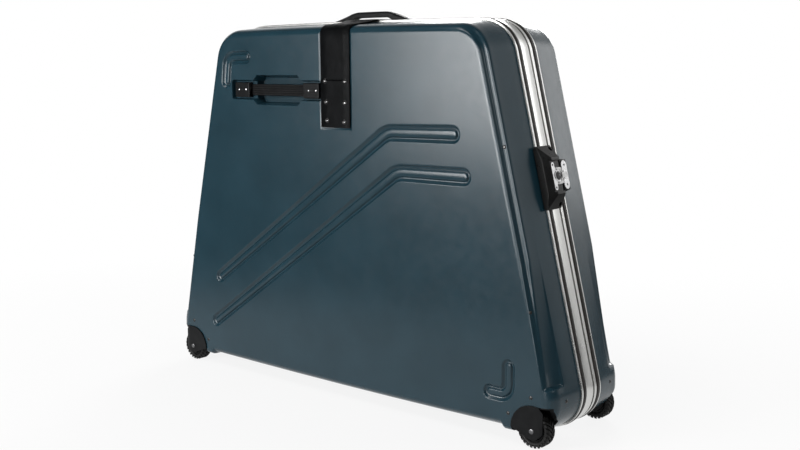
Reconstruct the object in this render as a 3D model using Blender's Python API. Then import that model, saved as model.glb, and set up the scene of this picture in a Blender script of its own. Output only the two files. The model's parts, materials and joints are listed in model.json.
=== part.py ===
"""Bike travel case: two pressed shells in aluminium frames, hinged along the wheel side.

It has four wheels in corner housings, a twist latch on each end, a strap that closes the top,
a carry handle, a side grip, and foam pads and tie straps inside. Metres, +Z up. +X is the right
end, the front half lies at -Y and swings about the hinge line under the frames. The origin is on
the floor, below the middle of the case.
"""

import math
from collections import namedtuple

import bmesh
import bpy
from mathutils import Matrix, Vector

# Case outline, along the outer edge of the frame lips
HALF_LENGTH = 0.6106  # at the bottom line, before the corner is rounded
CASE_TOP = 0.864
CASE_BOTTOM = 0.019
END_LEAN = math.radians(13.66)
TOP_CORNER = 0.092
BOTTOM_CORNER = 0.0805
TOP_CROWN = 0.0028
BOTTOM_CROWN = 0.008
HALF_DEPTH = 0.134
PARTING_Y = 0.0045
GAP = 0.0003  # between pieces that touch

# Shells: draft is the inset where a shoulder begins, shoulders are along the side and along Y
SHELL_WALL = 0.003
LIP_PROUD = 0.004  # the lips stand this far outside the shell
END_DRAFT = 0.011
TOP_DRAFT = 0.010
LOW_DRAFT = 0.006
END_BULGE_DRAFT = 0.010
LOW_BULGE_DRAFT = 0.002
END_SHOULDER = (0.0225, 0.020)
TOP_SHOULDER = (0.0207, 0.030)
LOW_SHOULDER = (0.0195, 0.030)
END_BULGE_SHOULDER = (0.030, 0.032)
LOW_BULGE_SHOULDER = (0.011, 0.014)
SHOULDER_STEPS = 4
CORNER_STEPS = 6
VALLEY_DEPTH = 0.005
RECESS_DEPTH = 0.0145
RECESS_TOP = 0.385
LEDGE_TOP = 0.138
LEDGE_DROP = 0.011
RECESS_SIDE = HALF_DEPTH - 0.046  # where the end recess begins, from the middle of the case
RECESS_SLOPE = 0.007
BULGE_START = HALF_LENGTH - 0.1616
BULGE_RAMP = 0.012

# Frames, from the lip to the parting plane
FRONT_LIP = 0.0045
FRONT_BAND = 0.0262
REAR_LIP = 0.0035
REAR_BAND = 0.0080
TRIM_WIDTH = 0.013
TRIM_SEAT = 0.0025
BAND_DROP = 0.0003
PARTING_GAP = 0.0008
MATING_STEP = 0.0032
FRAME_LEG = 0.0022
SEAL_SIZE = (0.0022, 0.0030)  # along Y and across

# Embossed grooves of the faces, as centre lines of (x, z)
RIB_WIDTHS = (0.029, 0.037)
ELL_WIDTH = 0.031
RIB_BEND = 0.060
ELL_BEND = 0.0218
GROOVE_DEPTH = 0.006
GROOVE_DRAFT = 0.003
BAR_DEPTH = 0.003
BAR_SHARE = 0.42  # of the groove's width
RIB_LEFT = 0.4360 - HALF_LENGTH
RIB_RIGHT = HALF_LENGTH - 0.2541
UPPER_RIB = ((RIB_LEFT - 0.2394, 0.238), (0.1485, 0.622), (RIB_RIGHT - 0.0275, 0.625))
LOWER_RIB = ((RIB_LEFT - 0.2614, 0.120), (0.176, 0.538), (RIB_RIGHT, 0.539))
TOP_ELL_X = 0.2426 - HALF_LENGTH
TOP_ELL = ((TOP_ELL_X + 0.073, 0.786), (TOP_ELL_X + 0.0075, 0.785), (TOP_ELL_X, 0.727))
LOW_ELL_X = HALF_LENGTH - 0.1401
LOW_ELL = ((LOW_ELL_X, 0.160), (LOW_ELL_X, 0.100), (LOW_ELL_X - 0.0465, 0.100))

# Closing strap and its channel
STRAP_X = 0.0
STRAP_WIDTH = 0.089
STRAP_THICK = 0.003
STRAP_DROP = 0.2365
STRAP_TAIL = 0.048
CHANNEL_DEPTH = 0.002
CHANNEL_CLEAR = 0.001

# Side grip in the front face
GRIP_Z = 0.7085
RECESS_LEFT = 0.2636 - HALF_LENGTH
RECESS_HIGH = 0.045
RECESS_BACK = 0.012
POCKET_SPAN = (RECESS_LEFT + 0.077, -0.1105)
POCKET_HIGH = 0.0675
POCKET_BACK = 0.030
POCKET_CHAMFER = 0.011
CAP_LENGTH = 0.050
CAP_HEIGHT = 0.035
CAP_WALL = 0.002
CAP_LEFT = RECESS_LEFT + 0.0115
CAP_RIGHT = -0.052
GRIP_HEIGHT = 0.027
GRIP_THICK = 0.0026
GRIP_TONGUE = 0.008
GRIP_RIBS = 5

# Carry handle on the front frame; distances along it are from its own middle
HANDLE_X = 0.0105
HANDLE_WIDTH = 0.020
HANDLE_RISE = 0.0214
HANDLE_LEVEL = 0.038  # half of the level part
HANDLE_FALL = 0.093  # length of the slope down to the frame
HANDLE_UNDER = 0.0084
HANDLE_UNDER_LEVEL = 0.045
HANDLE_CAPS = (0.0664, 0.118)
HANDLE_CAP_WALL = 0.0018
HANDLE_TONGUE = (0.013, 0.0020)  # length and thickness
HANDLE_TRAVEL = 0.004

# Wheels
WHEEL_X = HALF_LENGTH - 0.0806
WHEEL_Y = HALF_DEPTH - 0.0152
WHEEL_R = 0.0377
TYRE_WIDTH = 0.028
TREAD_DEPTH = 0.0026
HUB_R = 0.0240
LUGS = 16
AXLE_R = 0.0035
AXLE_HEAD = 0.006
HOUSING_R = 0.051
HOUSING_RISE = 0.0012  # its centre lies this far above the axle
HOUSING_WALL = 0.0025
HOUSING_INNER = HALF_DEPTH - 0.0337
HOUSING_PROUD = 0.003
HOUSING_ROOF = 0.0893
HOUSING_OUTER = 0.0330  # the hood's outer side, from the axle
NOTCH_Y = HALF_DEPTH - 0.0120  # where the shell's end wall stops beside the wheel, at the roof
NOTCH_LOW = 0.058  # height at which the end wall ends over the wheel
NOTCH_START = 0.020  # from the axle
CHEEK_EDGE = (  # the cheeks' free edge from the roof round to the back, from the axle
    (0.0185, 0.0473),
    (0.0254, 0.0405),
    (0.0320, 0.0265),
    (0.0283, 0.0069),
    (0.0224, -0.0053),
    (0.0110, -0.0158),
    (0.0040, -0.0177),
    (-0.0070, -0.0168),
    (-0.0220, -0.0106),
    (-0.0390, -0.0043),
)

# Latches, in the end's own frame: out of the end, along Y, up the end
LATCH_Z = 0.536
GUARD_FRONT = -0.0475
GUARD_HALF = 0.0658
GUARD_FLAT = 0.0378
GUARD_HIGH = 0.0225
GUARD_FOOT = 0.005  # height of the upright rim at the ends
GUARD_STEP = (0.014, 0.0345)  # height and half length of the front edge
GUARD_CREST = -0.0255  # where the top face begins
LATCH_SINK = 0.004
LATCH_HALF = 0.031
PLATE_THICK = 0.0015
PLATE_BODY = 0.0170
PLATE_LEFT = -0.0280
KEY_R = 0.0092
KEY_Y = -0.0105
COLLAR = 0.0018
HOOK_WIDTH = 0.012
HOOK_TRAVEL = 0.004
KEEPER_FRONT = 0.0080
KEEPER_WIDE = 0.0225

# Hinges
HINGE_X = 0.300
HINGE_LENGTH = 0.064
KNUCKLE_R = 0.0038
HINGE_PIN_R = 0.0017
LEAF_THICK = 0.0015
LEAF_WIDE = 0.0245
HINGE_DROP = 0.0045  # of the pin's centre below the frames

# Inside
FOAM_THICK = 0.012
FOAM_INSET = 0.060
FOAM_BOTTOM = 0.135
TIE_HEIGHTS = (0.270, 0.560)
TIE_LENGTH = 0.640
TIE_WIDTH = 0.040
TIE_THICK = 0.0016
BUCKLE = (0.052, 0.008, 0.050)

Half = namedtuple("Half", "name sign lip band_out edge leg_end")
FRONT = Half("front", -1, FRONT_LIP, PARTING_GAP - PARTING_Y, 0.0123, 0.0300)
REAR = Half("rear", 1, REAR_LIP, PARTING_Y + PARTING_GAP + MATING_STEP, 0.0150, 0.0280)
Station = namedtuple("Station", "x z nx nz draft shoulder recess valley")


def frame_exit(half):
    """Distance from the middle plane to the lip's outer side."""
    band = FRONT_BAND if half is FRONT else REAR_BAND
    return half.band_out + band + TRIM_WIDTH + half.lip


# Materials and objects


def finish(name, colour, roughness, metallic=0.0):
    made = bpy.data.materials.new(name)
    made.use_nodes = True
    shader = made.node_tree.nodes["Principled BSDF"]
    shader.inputs["Base Color"].default_value = (*colour, 1.0)
    shader.inputs["Roughness"].default_value = roughness
    shader.inputs["Metallic"].default_value = metallic
    made.diffuse_color = (*colour, 1.0)
    return made


def object_from(mesh_data, name, material, smooth_angle=None):
    """A new object from a bmesh, with its faces pointing out."""
    bmesh.ops.recalc_face_normals(mesh_data, faces=mesh_data.faces)
    mesh = bpy.data.meshes.new(name)
    mesh_data.to_mesh(mesh)
    mesh_data.free()
    made = bpy.data.objects.new(name, mesh)
    bpy.context.scene.collection.objects.link(made)
    if material:
        mesh.materials.append(material)
    if smooth_angle:
        mesh.shade_smooth()
        mesh.set_sharp_from_angle(angle=math.radians(smooth_angle))
    return made


def helper(mesh_data, name):
    """A cutter: drawn as wire, left out of a render."""
    made = object_from(mesh_data, name, None)
    made.hide_render = True
    made.display_type = "WIRE"
    return made


def combine(target, other, operation="DIFFERENCE"):
    step = target.modifiers.new(operation.title() + " " + other.name, "BOOLEAN")
    step.operation = operation
    step.object = other
    step.solver = "EXACT"


def set_origin(made, point):
    """Puts the object's origin at the point and leaves its shape where it is."""
    made.data.transform(Matrix.Translation(-Vector(point)))
    made.location = point


def loft(rings, mesh_data=None):
    """A closed solid through rings of equally many points, capped at both ends."""
    mesh_data = mesh_data or bmesh.new()
    rows = [[mesh_data.verts.new(point) for point in ring] for ring in rings]
    count = len(rows[0])
    for low, high in zip(rows, rows[1:]):
        for i in range(count):
            j = (i + 1) % count
            mesh_data.faces.new((low[i], low[j], high[j], high[i]))
    mesh_data.faces.new(rows[0])
    mesh_data.faces.new(rows[-1])
    return mesh_data


def hoop(rings, mesh_data=None):
    """A closed ring solid through sections that follow each other round a loop."""
    mesh_data = mesh_data or bmesh.new()
    rows = [[mesh_data.verts.new(point) for point in ring] for ring in rings]
    count = len(rows[0])
    for k, low in enumerate(rows):
        high = rows[(k + 1) % len(rows)]
        for i in range(count):
            j = (i + 1) % count
            mesh_data.faces.new((low[i], low[j], high[j], high[i]))
    return mesh_data


def plate_xz(outline, depth_a, depth_b, mesh_data=None):
    """A plate with its outline in X and Z, between two values of Y."""
    return loft([[(x, y, z) for x, z in outline] for y in (depth_a, depth_b)], mesh_data)


def box(low, high, mesh_data=None):
    outline = [(low[0], low[2]), (high[0], low[2]), (high[0], high[2]), (low[0], high[2])]
    return plate_xz(outline, low[1], high[1], mesh_data)


def circle(centre, radius, steps, start=0.0):
    """Points of a circle in a plane, as pairs."""
    angles = [start + math.tau * i / steps for i in range(steps)]
    return [(centre[0] + radius * math.cos(a), centre[1] + radius * math.sin(a)) for a in angles]


def arc(centre, radius, first, last, steps):
    """Points of an arc, angles in degrees."""
    angles = [math.radians(first + (last - first) * i / steps) for i in range(steps + 1)]
    return [(centre[0] + radius * math.cos(a), centre[1] + radius * math.sin(a)) for a in angles]


def rod_y(centre, radius, depth_a, depth_b, steps, mesh_data=None):
    """A round bar along Y."""
    return plate_xz(circle(centre, radius, steps), depth_a, depth_b, mesh_data)


def rod_x(centre, radius, x_a, x_b, steps, mesh_data=None):
    """A round bar along X, its centre given as Y and Z."""
    ring = circle(centre, radius, steps)
    return loft([[(x, y, z) for y, z in ring] for x in (x_a, x_b)], mesh_data)


# The outline of the case


def smooth(share):
    share = min(1.0, max(0.0, share))
    return share * share * (3 - 2 * share)


def corner_centre(height, radius, turn_z):
    """Centre of a corner arc that touches the leaning end and a level line."""
    reach = HALF_LENGTH * math.cos(END_LEAN) + CASE_BOTTOM * math.sin(END_LEAN)
    z = height + turn_z * radius
    return (reach - radius - z * math.sin(END_LEAN)) / math.cos(END_LEAN), z


LOW_CENTRE = corner_centre(CASE_BOTTOM, BOTTOM_CORNER, 1)
TOP_CENTRE = corner_centre(CASE_TOP, TOP_CORNER, -1)


def end_x(z):
    """X of the leaning end line at a height."""
    return HALF_LENGTH - (z - CASE_BOTTOM) * math.tan(END_LEAN)


def make_station(x, z, angle, low, end, top, recess=0.0):
    """One point of the outline, with the shell's section there mixed from the sides' own."""
    bulge = 1.0 - low - end - top
    level = bulge * smooth(-math.sin(angle))  # the share that looks down
    upright = bulge - level
    draft = low * LOW_DRAFT + end * END_DRAFT + top * TOP_DRAFT
    draft += upright * END_BULGE_DRAFT + level * LOW_BULGE_DRAFT
    shoulder = tuple(
        low * LOW_SHOULDER[i]
        + end * END_SHOULDER[i]
        + top * TOP_SHOULDER[i]
        + upright * END_BULGE_SHOULDER[i]
        + level * LOW_BULGE_SHOULDER[i]
        for i in (0, 1)
    )
    z -= TOP_CROWN * (x / TOP_CENTRE[0]) ** 2 * max(0.0, math.sin(angle))
    valley = VALLEY_DEPTH * end * (1.0 - recess / RECESS_DEPTH)
    return Station(x, z, math.cos(angle), math.sin(angle), draft, shoulder, recess, valley)


def half_outline(with_recess):
    """Stations of the right half, from the middle of the bottom to the middle of the top."""
    lean = END_LEAN
    down = -math.pi / 2
    made = [make_station(0.0, CASE_BOTTOM, down, 1, 0, 0)]
    if with_recess:
        made.append(make_station(BULGE_START / 2, CASE_BOTTOM, down, 1, 0, 0))
        made.append(make_station(BULGE_START, CASE_BOTTOM, down, 1, 0, 0))
        made.append(make_station(BULGE_START + BULGE_RAMP, CASE_BOTTOM, down, 0, 0, 0))
    for i in range(CORNER_STEPS + 1):
        angle = down + (lean - down) * i / CORNER_STEPS
        x = LOW_CENTRE[0] + BOTTOM_CORNER * math.cos(angle)
        z = LOW_CENTRE[1] + BOTTOM_CORNER * math.sin(angle)
        made.append(make_station(x, z, angle, 0, 0, 0))
    if with_recess:
        low_edge = LEDGE_TOP - LEDGE_DROP
        made.append(make_station(end_x(low_edge), low_edge, lean, 0, 0, 0))
        for z in (LEDGE_TOP, (LEDGE_TOP + RECESS_TOP) / 2, RECESS_TOP):
            recess = RECESS_DEPTH * (RECESS_TOP - z) / (RECESS_TOP - LEDGE_TOP)
            made.append(make_station(end_x(z), z, lean, 0, 1, 0, recess))
    for i in range(CORNER_STEPS + 1):
        share = i / CORNER_STEPS
        angle = lean + (math.pi / 2 - lean) * share
        x = TOP_CENTRE[0] + TOP_CORNER * math.cos(angle)
        z = TOP_CENTRE[1] + TOP_CORNER * math.sin(angle)
        made.append(make_station(x, z, angle, 0, 1 - smooth(share), smooth(share)))
    for share in (0.5, 0.0):
        made.append(make_station(TOP_CENTRE[0] * share, CASE_TOP, math.pi / 2, 0, 0, 1))
    return made


def case_outline(with_recess=False):
    """Stations right round the case."""
    right = half_outline(with_recess)
    left = [s._replace(x=-s.x, nx=-s.nx) for s in reversed(right[1:-1])]
    return right + left


def on_outline(station, inset, y, drop_share=0.0):
    """The point a given inset inside the outline; the bottom of the shells bows by the share."""
    bow = BOTTOM_CROWN * (station.x / HALF_LENGTH) ** 2 * max(0.0, -station.nz) * drop_share
    return station.x - inset * station.nx, y, station.z - inset * station.nz + bow


# Shells


def shell_section(station, half, skin=0.0):
    """Points (inset, distance from the middle plane) from the frame to the face."""
    leave = frame_exit(half)
    start = HALF_DEPTH - station.shoulder[1]

    def wall(depth):
        share = (depth - leave) / (start - leave)
        return LIP_PROUD + (station.draft - LIP_PROUD) * share + skin

    open_edge = -half.edge if skin else half.edge
    points = [(LIP_PROUD + skin, open_edge), (LIP_PROUD + skin, leave)]
    points.append((wall(RECESS_SIDE), RECESS_SIDE))
    points.append((wall(RECESS_SIDE + RECESS_SLOPE) + station.recess, RECESS_SIDE + RECESS_SLOPE))
    first = station.draft + station.recess + skin
    across = max(station.shoulder[0] - station.recess - 0.6 * skin, 0.004)
    out = station.shoulder[1] - skin
    for i in range(SHOULDER_STEPS + 1):
        turn = math.pi / 2 * i / SHOULDER_STEPS
        dip = station.valley * max(0.0, math.cos(2 * (2 * turn - math.pi / 2)))
        inset = first + across * (1 - math.cos(turn)) + dip * math.cos(turn)
        points.append((inset, start + out * math.sin(turn) - dip * math.sin(turn)))
    return points


def shell_rings(half, skin):
    """Rings from the open edge to the face; the inner skin runs out past the parting plane."""
    stations = case_outline(with_recess=True)
    sections = [shell_section(station, half, skin) for station in stations]
    leave = frame_exit(half)
    rings = []
    for k in range(len(sections[0])):
        ring = []
        for station, section in zip(stations, sections):
            inset, depth = section[k]
            share = max(0.0, (depth - leave) / (HALF_DEPTH - leave))
            ring.append(on_outline(station, inset, half.sign * depth, share))
        rings.append(ring)
    return rings


def stroke(path, widths, end_steps=4):
    """Outline of a stroke with round ends along a path, its width going from one to the other."""
    points = [Vector(p) for p in path]
    ways = [(b - a).normalized() for a, b in zip(points, points[1:])]
    sides = [Vector((-w.y, w.x)) for w in ways]
    lengths = [0.0]
    for a, b in zip(points, points[1:]):
        lengths.append(lengths[-1] + (b - a).length)
    halves = [(widths[0] + (widths[1] - widths[0]) * run / lengths[-1]) / 2 for run in lengths]

    def rounding(centre, half, way, side):
        turns = [math.pi * (0.5 - (i + 1) / (end_steps + 1)) for i in range(end_steps)]
        return [centre + half * (way * math.cos(t) + side * math.sin(t)) for t in turns]

    bends = []
    for before, after in zip(sides, sides[1:]):
        middle = (before + after).normalized()
        bends.append(middle / middle.dot(before))
    normals = [sides[0]] + bends + [sides[-1]]
    left = [p + half * n for p, half, n in zip(points, halves, normals)]
    right = [p - half * n for p, half, n in zip(points, halves, normals)]
    made = left + rounding(points[-1], halves[-1], ways[-1], sides[-1])
    made += right[::-1] + rounding(points[0], halves[0], -ways[0], -sides[0])
    return [tuple(p) for p in made]


def rounded_path(path, radius, steps):
    """The path of three points with its bend turned into an arc."""
    first, bend, last = (Vector(p) for p in path)
    back = (first - bend).normalized()
    on = (last - bend).normalized()
    turn = math.pi - back.angle(on)
    tangent = radius * math.tan(turn / 2)
    middle = bend + (back + on).normalized() * radius / math.cos(turn / 2)
    start = bend + back * tangent - middle
    way = math.copysign(1.0, back.cross(on))
    arc_points = []
    for i in range(steps + 1):
        angle = way * turn * i / steps
        cos, sin = math.cos(angle), math.sin(angle)
        arc_points.append(middle + Vector((start.x * cos + start.y * sin, start.y * cos - start.x * sin)))
    return [tuple(p) for p in [first] + arc_points + [last]]


def groove_paths():
    """Each groove's path and its widths at the two ends."""
    ell_widths = (ELL_WIDTH, ELL_WIDTH)
    return [
        (rounded_path(UPPER_RIB, RIB_BEND, 3), RIB_WIDTHS),
        (rounded_path(LOWER_RIB, RIB_BEND, 3), RIB_WIDTHS),
        (rounded_path(TOP_ELL, ELL_BEND, 4), ell_widths),
        (rounded_path(LOW_ELL, ELL_BEND, 4), ell_widths),
    ]


def groove_cutters(half, skin, name):
    """All grooves of one face, with the low bar along each floor, or their backs for the cavity."""
    mesh_data = bmesh.new()
    outside = 0.004
    slope = GROOVE_DRAFT / GROOVE_DEPTH
    for path, widths in groove_paths():
        levels = [(2 * (skin + slope * outside), 1.0, HALF_DEPTH + outside)]
        levels.append((2 * (skin - GROOVE_DRAFT), 1.0, HALF_DEPTH - GROOVE_DEPTH - skin))
        if not skin:
            levels.append((0.003, BAR_SHARE, HALF_DEPTH - GROOVE_DEPTH))
            levels.append((0.0, BAR_SHARE, HALF_DEPTH - BAR_DEPTH))
        rings = []
        for wider, share, depth in levels:
            outline = stroke(path, [width * share + wider for width in widths])
            rings.append([(x, half.sign * depth, z) for x, z in outline])
        loft(rings, mesh_data)
    return helper(mesh_data, name)


def over_wheel(grow, first):
    """The hood's outline grown evenly: an arc from an angle in degrees, then the level roof."""
    centre = (WHEEL_X, WHEEL_R + HOUSING_RISE)
    roof = HOUSING_ROOF + grow
    radius = HOUSING_R + grow
    last = math.degrees(math.asin((roof - centre[1]) / radius))
    return arc(centre, radius, first, last, 9) + [(WHEEL_X + HOUSING_OUTER + grow, roof)]


def mirrored(outline, side):
    return [(side * x, z) for x, z in outline]


def wheel_pocket(half, side, skin, name):
    """The wheel housing's seat, and the notch through which it opens at the rounded corner."""
    grow = GAP * 1.5 + skin
    seat = over_wheel(grow, 215)
    seat += [(seat[-1][0], -0.02), (seat[0][0], -0.02)]
    outer = HALF_DEPTH + 0.01
    inner = HOUSING_INNER - GAP * 2 - skin
    cutter = helper(plate_xz(mirrored(seat, side), half.sign * inner, half.sign * outer), name)
    roof = HOUSING_ROOF + grow - 0.0001
    step = (NOTCH_Y - HOUSING_INNER) / 2 + HOUSING_INNER - skin
    notch = [(NOTCH_Y - skin, roof), (NOTCH_Y - skin, roof - 0.005), (step, NOTCH_LOW + 0.008 + skin)]
    notch += [(inner + 0.0001, NOTCH_LOW + skin), (inner + 0.0001, -0.03)]
    notch += [(outer + 0.01, -0.03), (outer + 0.01, roof)]
    ends = [side * (WHEEL_X + NOTCH_START), side * (HALF_LENGTH + 0.02)]
    solid = loft([[(x, half.sign * y, z) for y, z in notch] for x in ends])
    combine(cutter, helper(solid, name + "_notch"), "UNION")
    return cutter


def strap_channel(skin, name):
    """The strap lies in a shallow channel of the face."""
    half_width = STRAP_WIDTH / 2 + CHANNEL_CLEAR + skin
    floor = HALF_DEPTH - CHANNEL_DEPTH - skin
    low = CASE_TOP - STRAP_DROP - CHANNEL_CLEAR - skin
    near = (STRAP_X - half_width, -floor, low)
    far = (STRAP_X + half_width, -HALF_DEPTH - 0.01, CASE_TOP + 0.01)
    return helper(box(near, far), name)


def grip_recess(skin, name):
    """The narrow part of the side grip's recess, open into the strap's channel."""
    right = STRAP_X - STRAP_WIDTH / 2 - CHANNEL_CLEAR + 0.0005
    high = RECESS_HIGH / 2 + skin
    radius = 0.006
    outline = arc((RECESS_LEFT - skin + radius, GRIP_Z + high - radius), radius, 90, 180, 3)
    outline += arc((RECESS_LEFT - skin + radius, GRIP_Z - high + radius), radius, 180, 270, 3)
    outline += [(right + skin, GRIP_Z - high), (right + skin, GRIP_Z + high)]
    floor = HALF_DEPTH - RECESS_BACK - skin
    return helper(plate_xz(outline, -floor, -HALF_DEPTH - 0.01), name)


def hand_pocket(skin, name):
    """The deeper and taller part behind the grip, with cut corners."""
    left, right = POCKET_SPAN
    left -= skin
    right += skin
    high = POCKET_HIGH / 2 + skin
    cut = POCKET_CHAMFER
    outline = [
        (left, GRIP_Z - high + cut),
        (left + cut, GRIP_Z - high),
        (right - cut, GRIP_Z - high),
        (right, GRIP_Z - high + cut),
        (right, GRIP_Z + high - cut),
        (right - cut, GRIP_Z + high),
        (left + cut, GRIP_Z + high),
        (left, GRIP_Z + high - cut),
    ]
    floor = HALF_DEPTH - POCKET_BACK - skin
    return helper(plate_xz(outline, -floor, -HALF_DEPTH - 0.01), name)


def make_shell(half, material):
    """A pressed sheet of even wall: the outer form less the same form one wall further in."""
    shell = object_from(loft(shell_rings(half, 0.0)), half.name + "_shell", material, 35)
    cavity = helper(loft(shell_rings(half, SHELL_WALL)), half.name + "_cavity")
    for body, skin in ((shell, 0.0), (cavity, SHELL_WALL)):
        combine(body, groove_cutters(half, skin, body.name + "_grooves"))
        for side, word in ((-1, "left"), (1, "right")):
            combine(body, wheel_pocket(half, side, skin, f"{body.name}_{word}_pocket"))
        if half is FRONT:
            combine(body, strap_channel(skin, body.name + "_strap_channel"))
            combine(body, grip_recess(skin, body.name + "_grip_recess"))
            combine(body, hand_pocket(skin, body.name + "_hand_pocket"))
    combine(shell, cavity)
    return shell


# Frames, trim and seal


def swept(section, name, material):
    """A section of (y, inset) points swept right round the case."""
    rings = [[on_outline(s, inset, y) for y, inset in section] for s in case_outline()]
    return object_from(hoop(rings), name, material, 35)


def slot_insets():
    """The two sides of the slot that grips the shell's edge, and the inner face of the leg."""
    outer = LIP_PROUD - GAP
    inner = LIP_PROUD + SHELL_WALL + GAP
    return outer, inner, inner + FRAME_LEG


def front_frame_section():
    outer, inner, leg = slot_insets()
    leave = -frame_exit(FRONT)
    trim = leave + FRONT_LIP
    band = trim + TRIM_WIDTH
    face = PARTING_Y - PARTING_GAP
    end = -FRONT.edge + GAP
    return [
        (leave, outer),
        (leave, 0.0),
        (trim, 0.0),
        (trim, TRIM_SEAT),
        (band, TRIM_SEAT),
        (band, BAND_DROP),
        ((band + face) / 2, BAND_DROP + 0.0007),
        (face - 0.001, BAND_DROP),
        (face, BAND_DROP + 0.001),
        (face, leg),
        (-FRONT.leg_end, leg),
        (-FRONT.leg_end, inner),
        (end, inner),
        (end, outer),
    ]


def rear_frame_section():
    outer, inner, leg = slot_insets()
    leave = frame_exit(REAR)
    trim = leave - REAR_LIP
    band = trim - TRIM_WIDTH
    face = PARTING_Y + PARTING_GAP
    end = REAR.edge - GAP
    seal_low = inner - SEAL_SIZE[1] + 0.0009
    seal_high = inner + 0.0009
    return [
        (face, LIP_PROUD),
        (REAR.band_out, LIP_PROUD),
        (REAR.band_out, BAND_DROP),
        (band, BAND_DROP),
        (band, TRIM_SEAT),
        (trim, TRIM_SEAT),
        (trim, 0.0),
        (leave, 0.0),
        (leave, outer),
        (end, outer),
        (end, inner),
        (REAR.leg_end, inner),
        (REAR.leg_end, leg),
        (face, leg),
        (face, seal_high),
        (face + SEAL_SIZE[0], seal_high),
        (face + SEAL_SIZE[0], seal_low),
        (face, seal_low),
    ]


def make_trim(half, material):
    """The dark strip pressed into the frame's groove."""
    outer = frame_exit(half) - half.lip - GAP
    inner = outer - TRIM_WIDTH + 2 * GAP
    seat = TRIM_SEAT - GAP
    edge, top, round_off = seat - 0.0008, seat - 0.0014, 0.0012
    pairs = [
        (outer, seat),
        (outer, edge),
        (outer - round_off, top),
        (inner + round_off, top),
        (inner, edge),
        (inner, seat),
    ]
    section = [(half.sign * depth, inset) for depth, inset in pairs]
    return swept(section, half.name + "_trim_strip", material)


def make_seal(material):
    """The rubber seal in the rear frame's groove; it meets the front frame's face."""
    inner = slot_insets()[1]
    low = inner - SEAL_SIZE[1] + 0.0009 + GAP
    high = inner + 0.0009 - GAP
    back = PARTING_Y + PARTING_GAP + SEAL_SIZE[0] - GAP
    front = PARTING_Y - PARTING_GAP + GAP
    nose = [(front + 0.0005, low), (front, (low + high) / 2), (front + 0.0005, high)]
    section = [(back, low)] + nose + [(back, high)]
    return swept(section, "frame_seal", material)


# Hinges

HINGE_Z = CASE_BOTTOM - HINGE_DROP


def make_hinge(word, side, material):
    """A three-knuckle hinge screwed under the frames: front leaf, rear leaf and pin."""
    middle = side * HINGE_X
    half = HINGE_LENGTH / 2
    inner_half = HINGE_LENGTH * 0.19
    top = CASE_BOTTOM - GAP
    centre = (PARTING_Y, HINGE_Z)
    clear = KNUCKLE_R + 0.0008
    spans = {
        "front": [(-half, -inner_half), (inner_half, half)],
        "rear": [(-inner_half + GAP, inner_half - GAP)],
    }
    made = []
    for leaf, sign in (("front", -1), ("rear", 1)):
        near = PARTING_Y + sign * clear
        far = PARTING_Y + sign * LEAF_WIDE
        low, high = sorted((near, far))
        corners = ((middle - half, low, top - LEAF_THICK), (middle + half, high, top))
        plate = object_from(box(*corners), f"hinge_{word}_{leaf}_leaf", material, 30)
        bores = bmesh.new()
        for number, (a, b) in enumerate(spans[leaf]):
            reach = sorted((PARTING_Y, near + sign * 0.001))
            strip = box((middle + a, reach[0], top - LEAF_THICK), (middle + b, reach[1], top - 0.0002))
            combine(plate, helper(strip, f"hinge_{word}_{leaf}_neck_{number}"), "UNION")
            tube = rod_x(centre, KNUCKLE_R, middle + a, middle + b, 12)
            combine(plate, helper(tube, f"hinge_{word}_{leaf}_knuckle_{number}"), "UNION")
            rod_x(centre, HINGE_PIN_R + GAP, middle + a - 0.001, middle + b + 0.001, 12, bores)
        combine(plate, helper(bores, f"hinge_{word}_{leaf}_bore"))
        made.append(plate)
    pin = rod_x(centre, HINGE_PIN_R, middle - half - 0.001, middle + half + 0.001, 12)
    made.append(object_from(pin, f"hinge_{word}_pin", material, 40))
    return made


# Wheels


def lathe_y(profile, steps, centre, depths=1.0):
    """A ring solid turned about an axis along Y, from (radius, y) pairs in a closed loop."""
    rings = []
    for i in range(steps):
        turn = math.tau * i / steps
        direction = (math.cos(turn), math.sin(turn))
        section = profile(i) if callable(profile) else profile
        ring = [(centre[0] + r * direction[0], depths * y, centre[1] + r * direction[1]) for r, y in section]
        rings.append(ring)
    return hoop(rings)


def tyre_section(step):
    """The tyre's section; the two rows of blocks stand half a pitch apart."""
    low = WHEEL_R - TREAD_DEPTH
    side = TYRE_WIDTH / 2
    front, rear = (WHEEL_R, low) if step % 2 else (low, WHEEL_R)
    bead = side - 0.004
    return [
        (HUB_R + GAP, -bead),
        (HUB_R + GAP, bead),
        (WHEEL_R * 0.82, side),
        (rear, side - 0.003),
        (low + TREAD_DEPTH * 0.5, 0.0),
        (front, 0.003 - side),
        (WHEEL_R * 0.82, -side),
    ]


def wheel_centre(half, side):
    return Vector((side * WHEEL_X, half.sign * WHEEL_Y, WHEEL_R))


def shifted(section, y):
    return [(radius, along + y) for radius, along in section]


def make_tyre(half, side, label, material):
    centre = wheel_centre(half, side)
    profile = lambda step: shifted(tyre_section(step), centre.y)
    made = object_from(lathe_y(profile, LUGS * 2, (centre.x, centre.z)), "tyre_" + label, material, 30)
    set_origin(made, centre)
    return made


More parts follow.
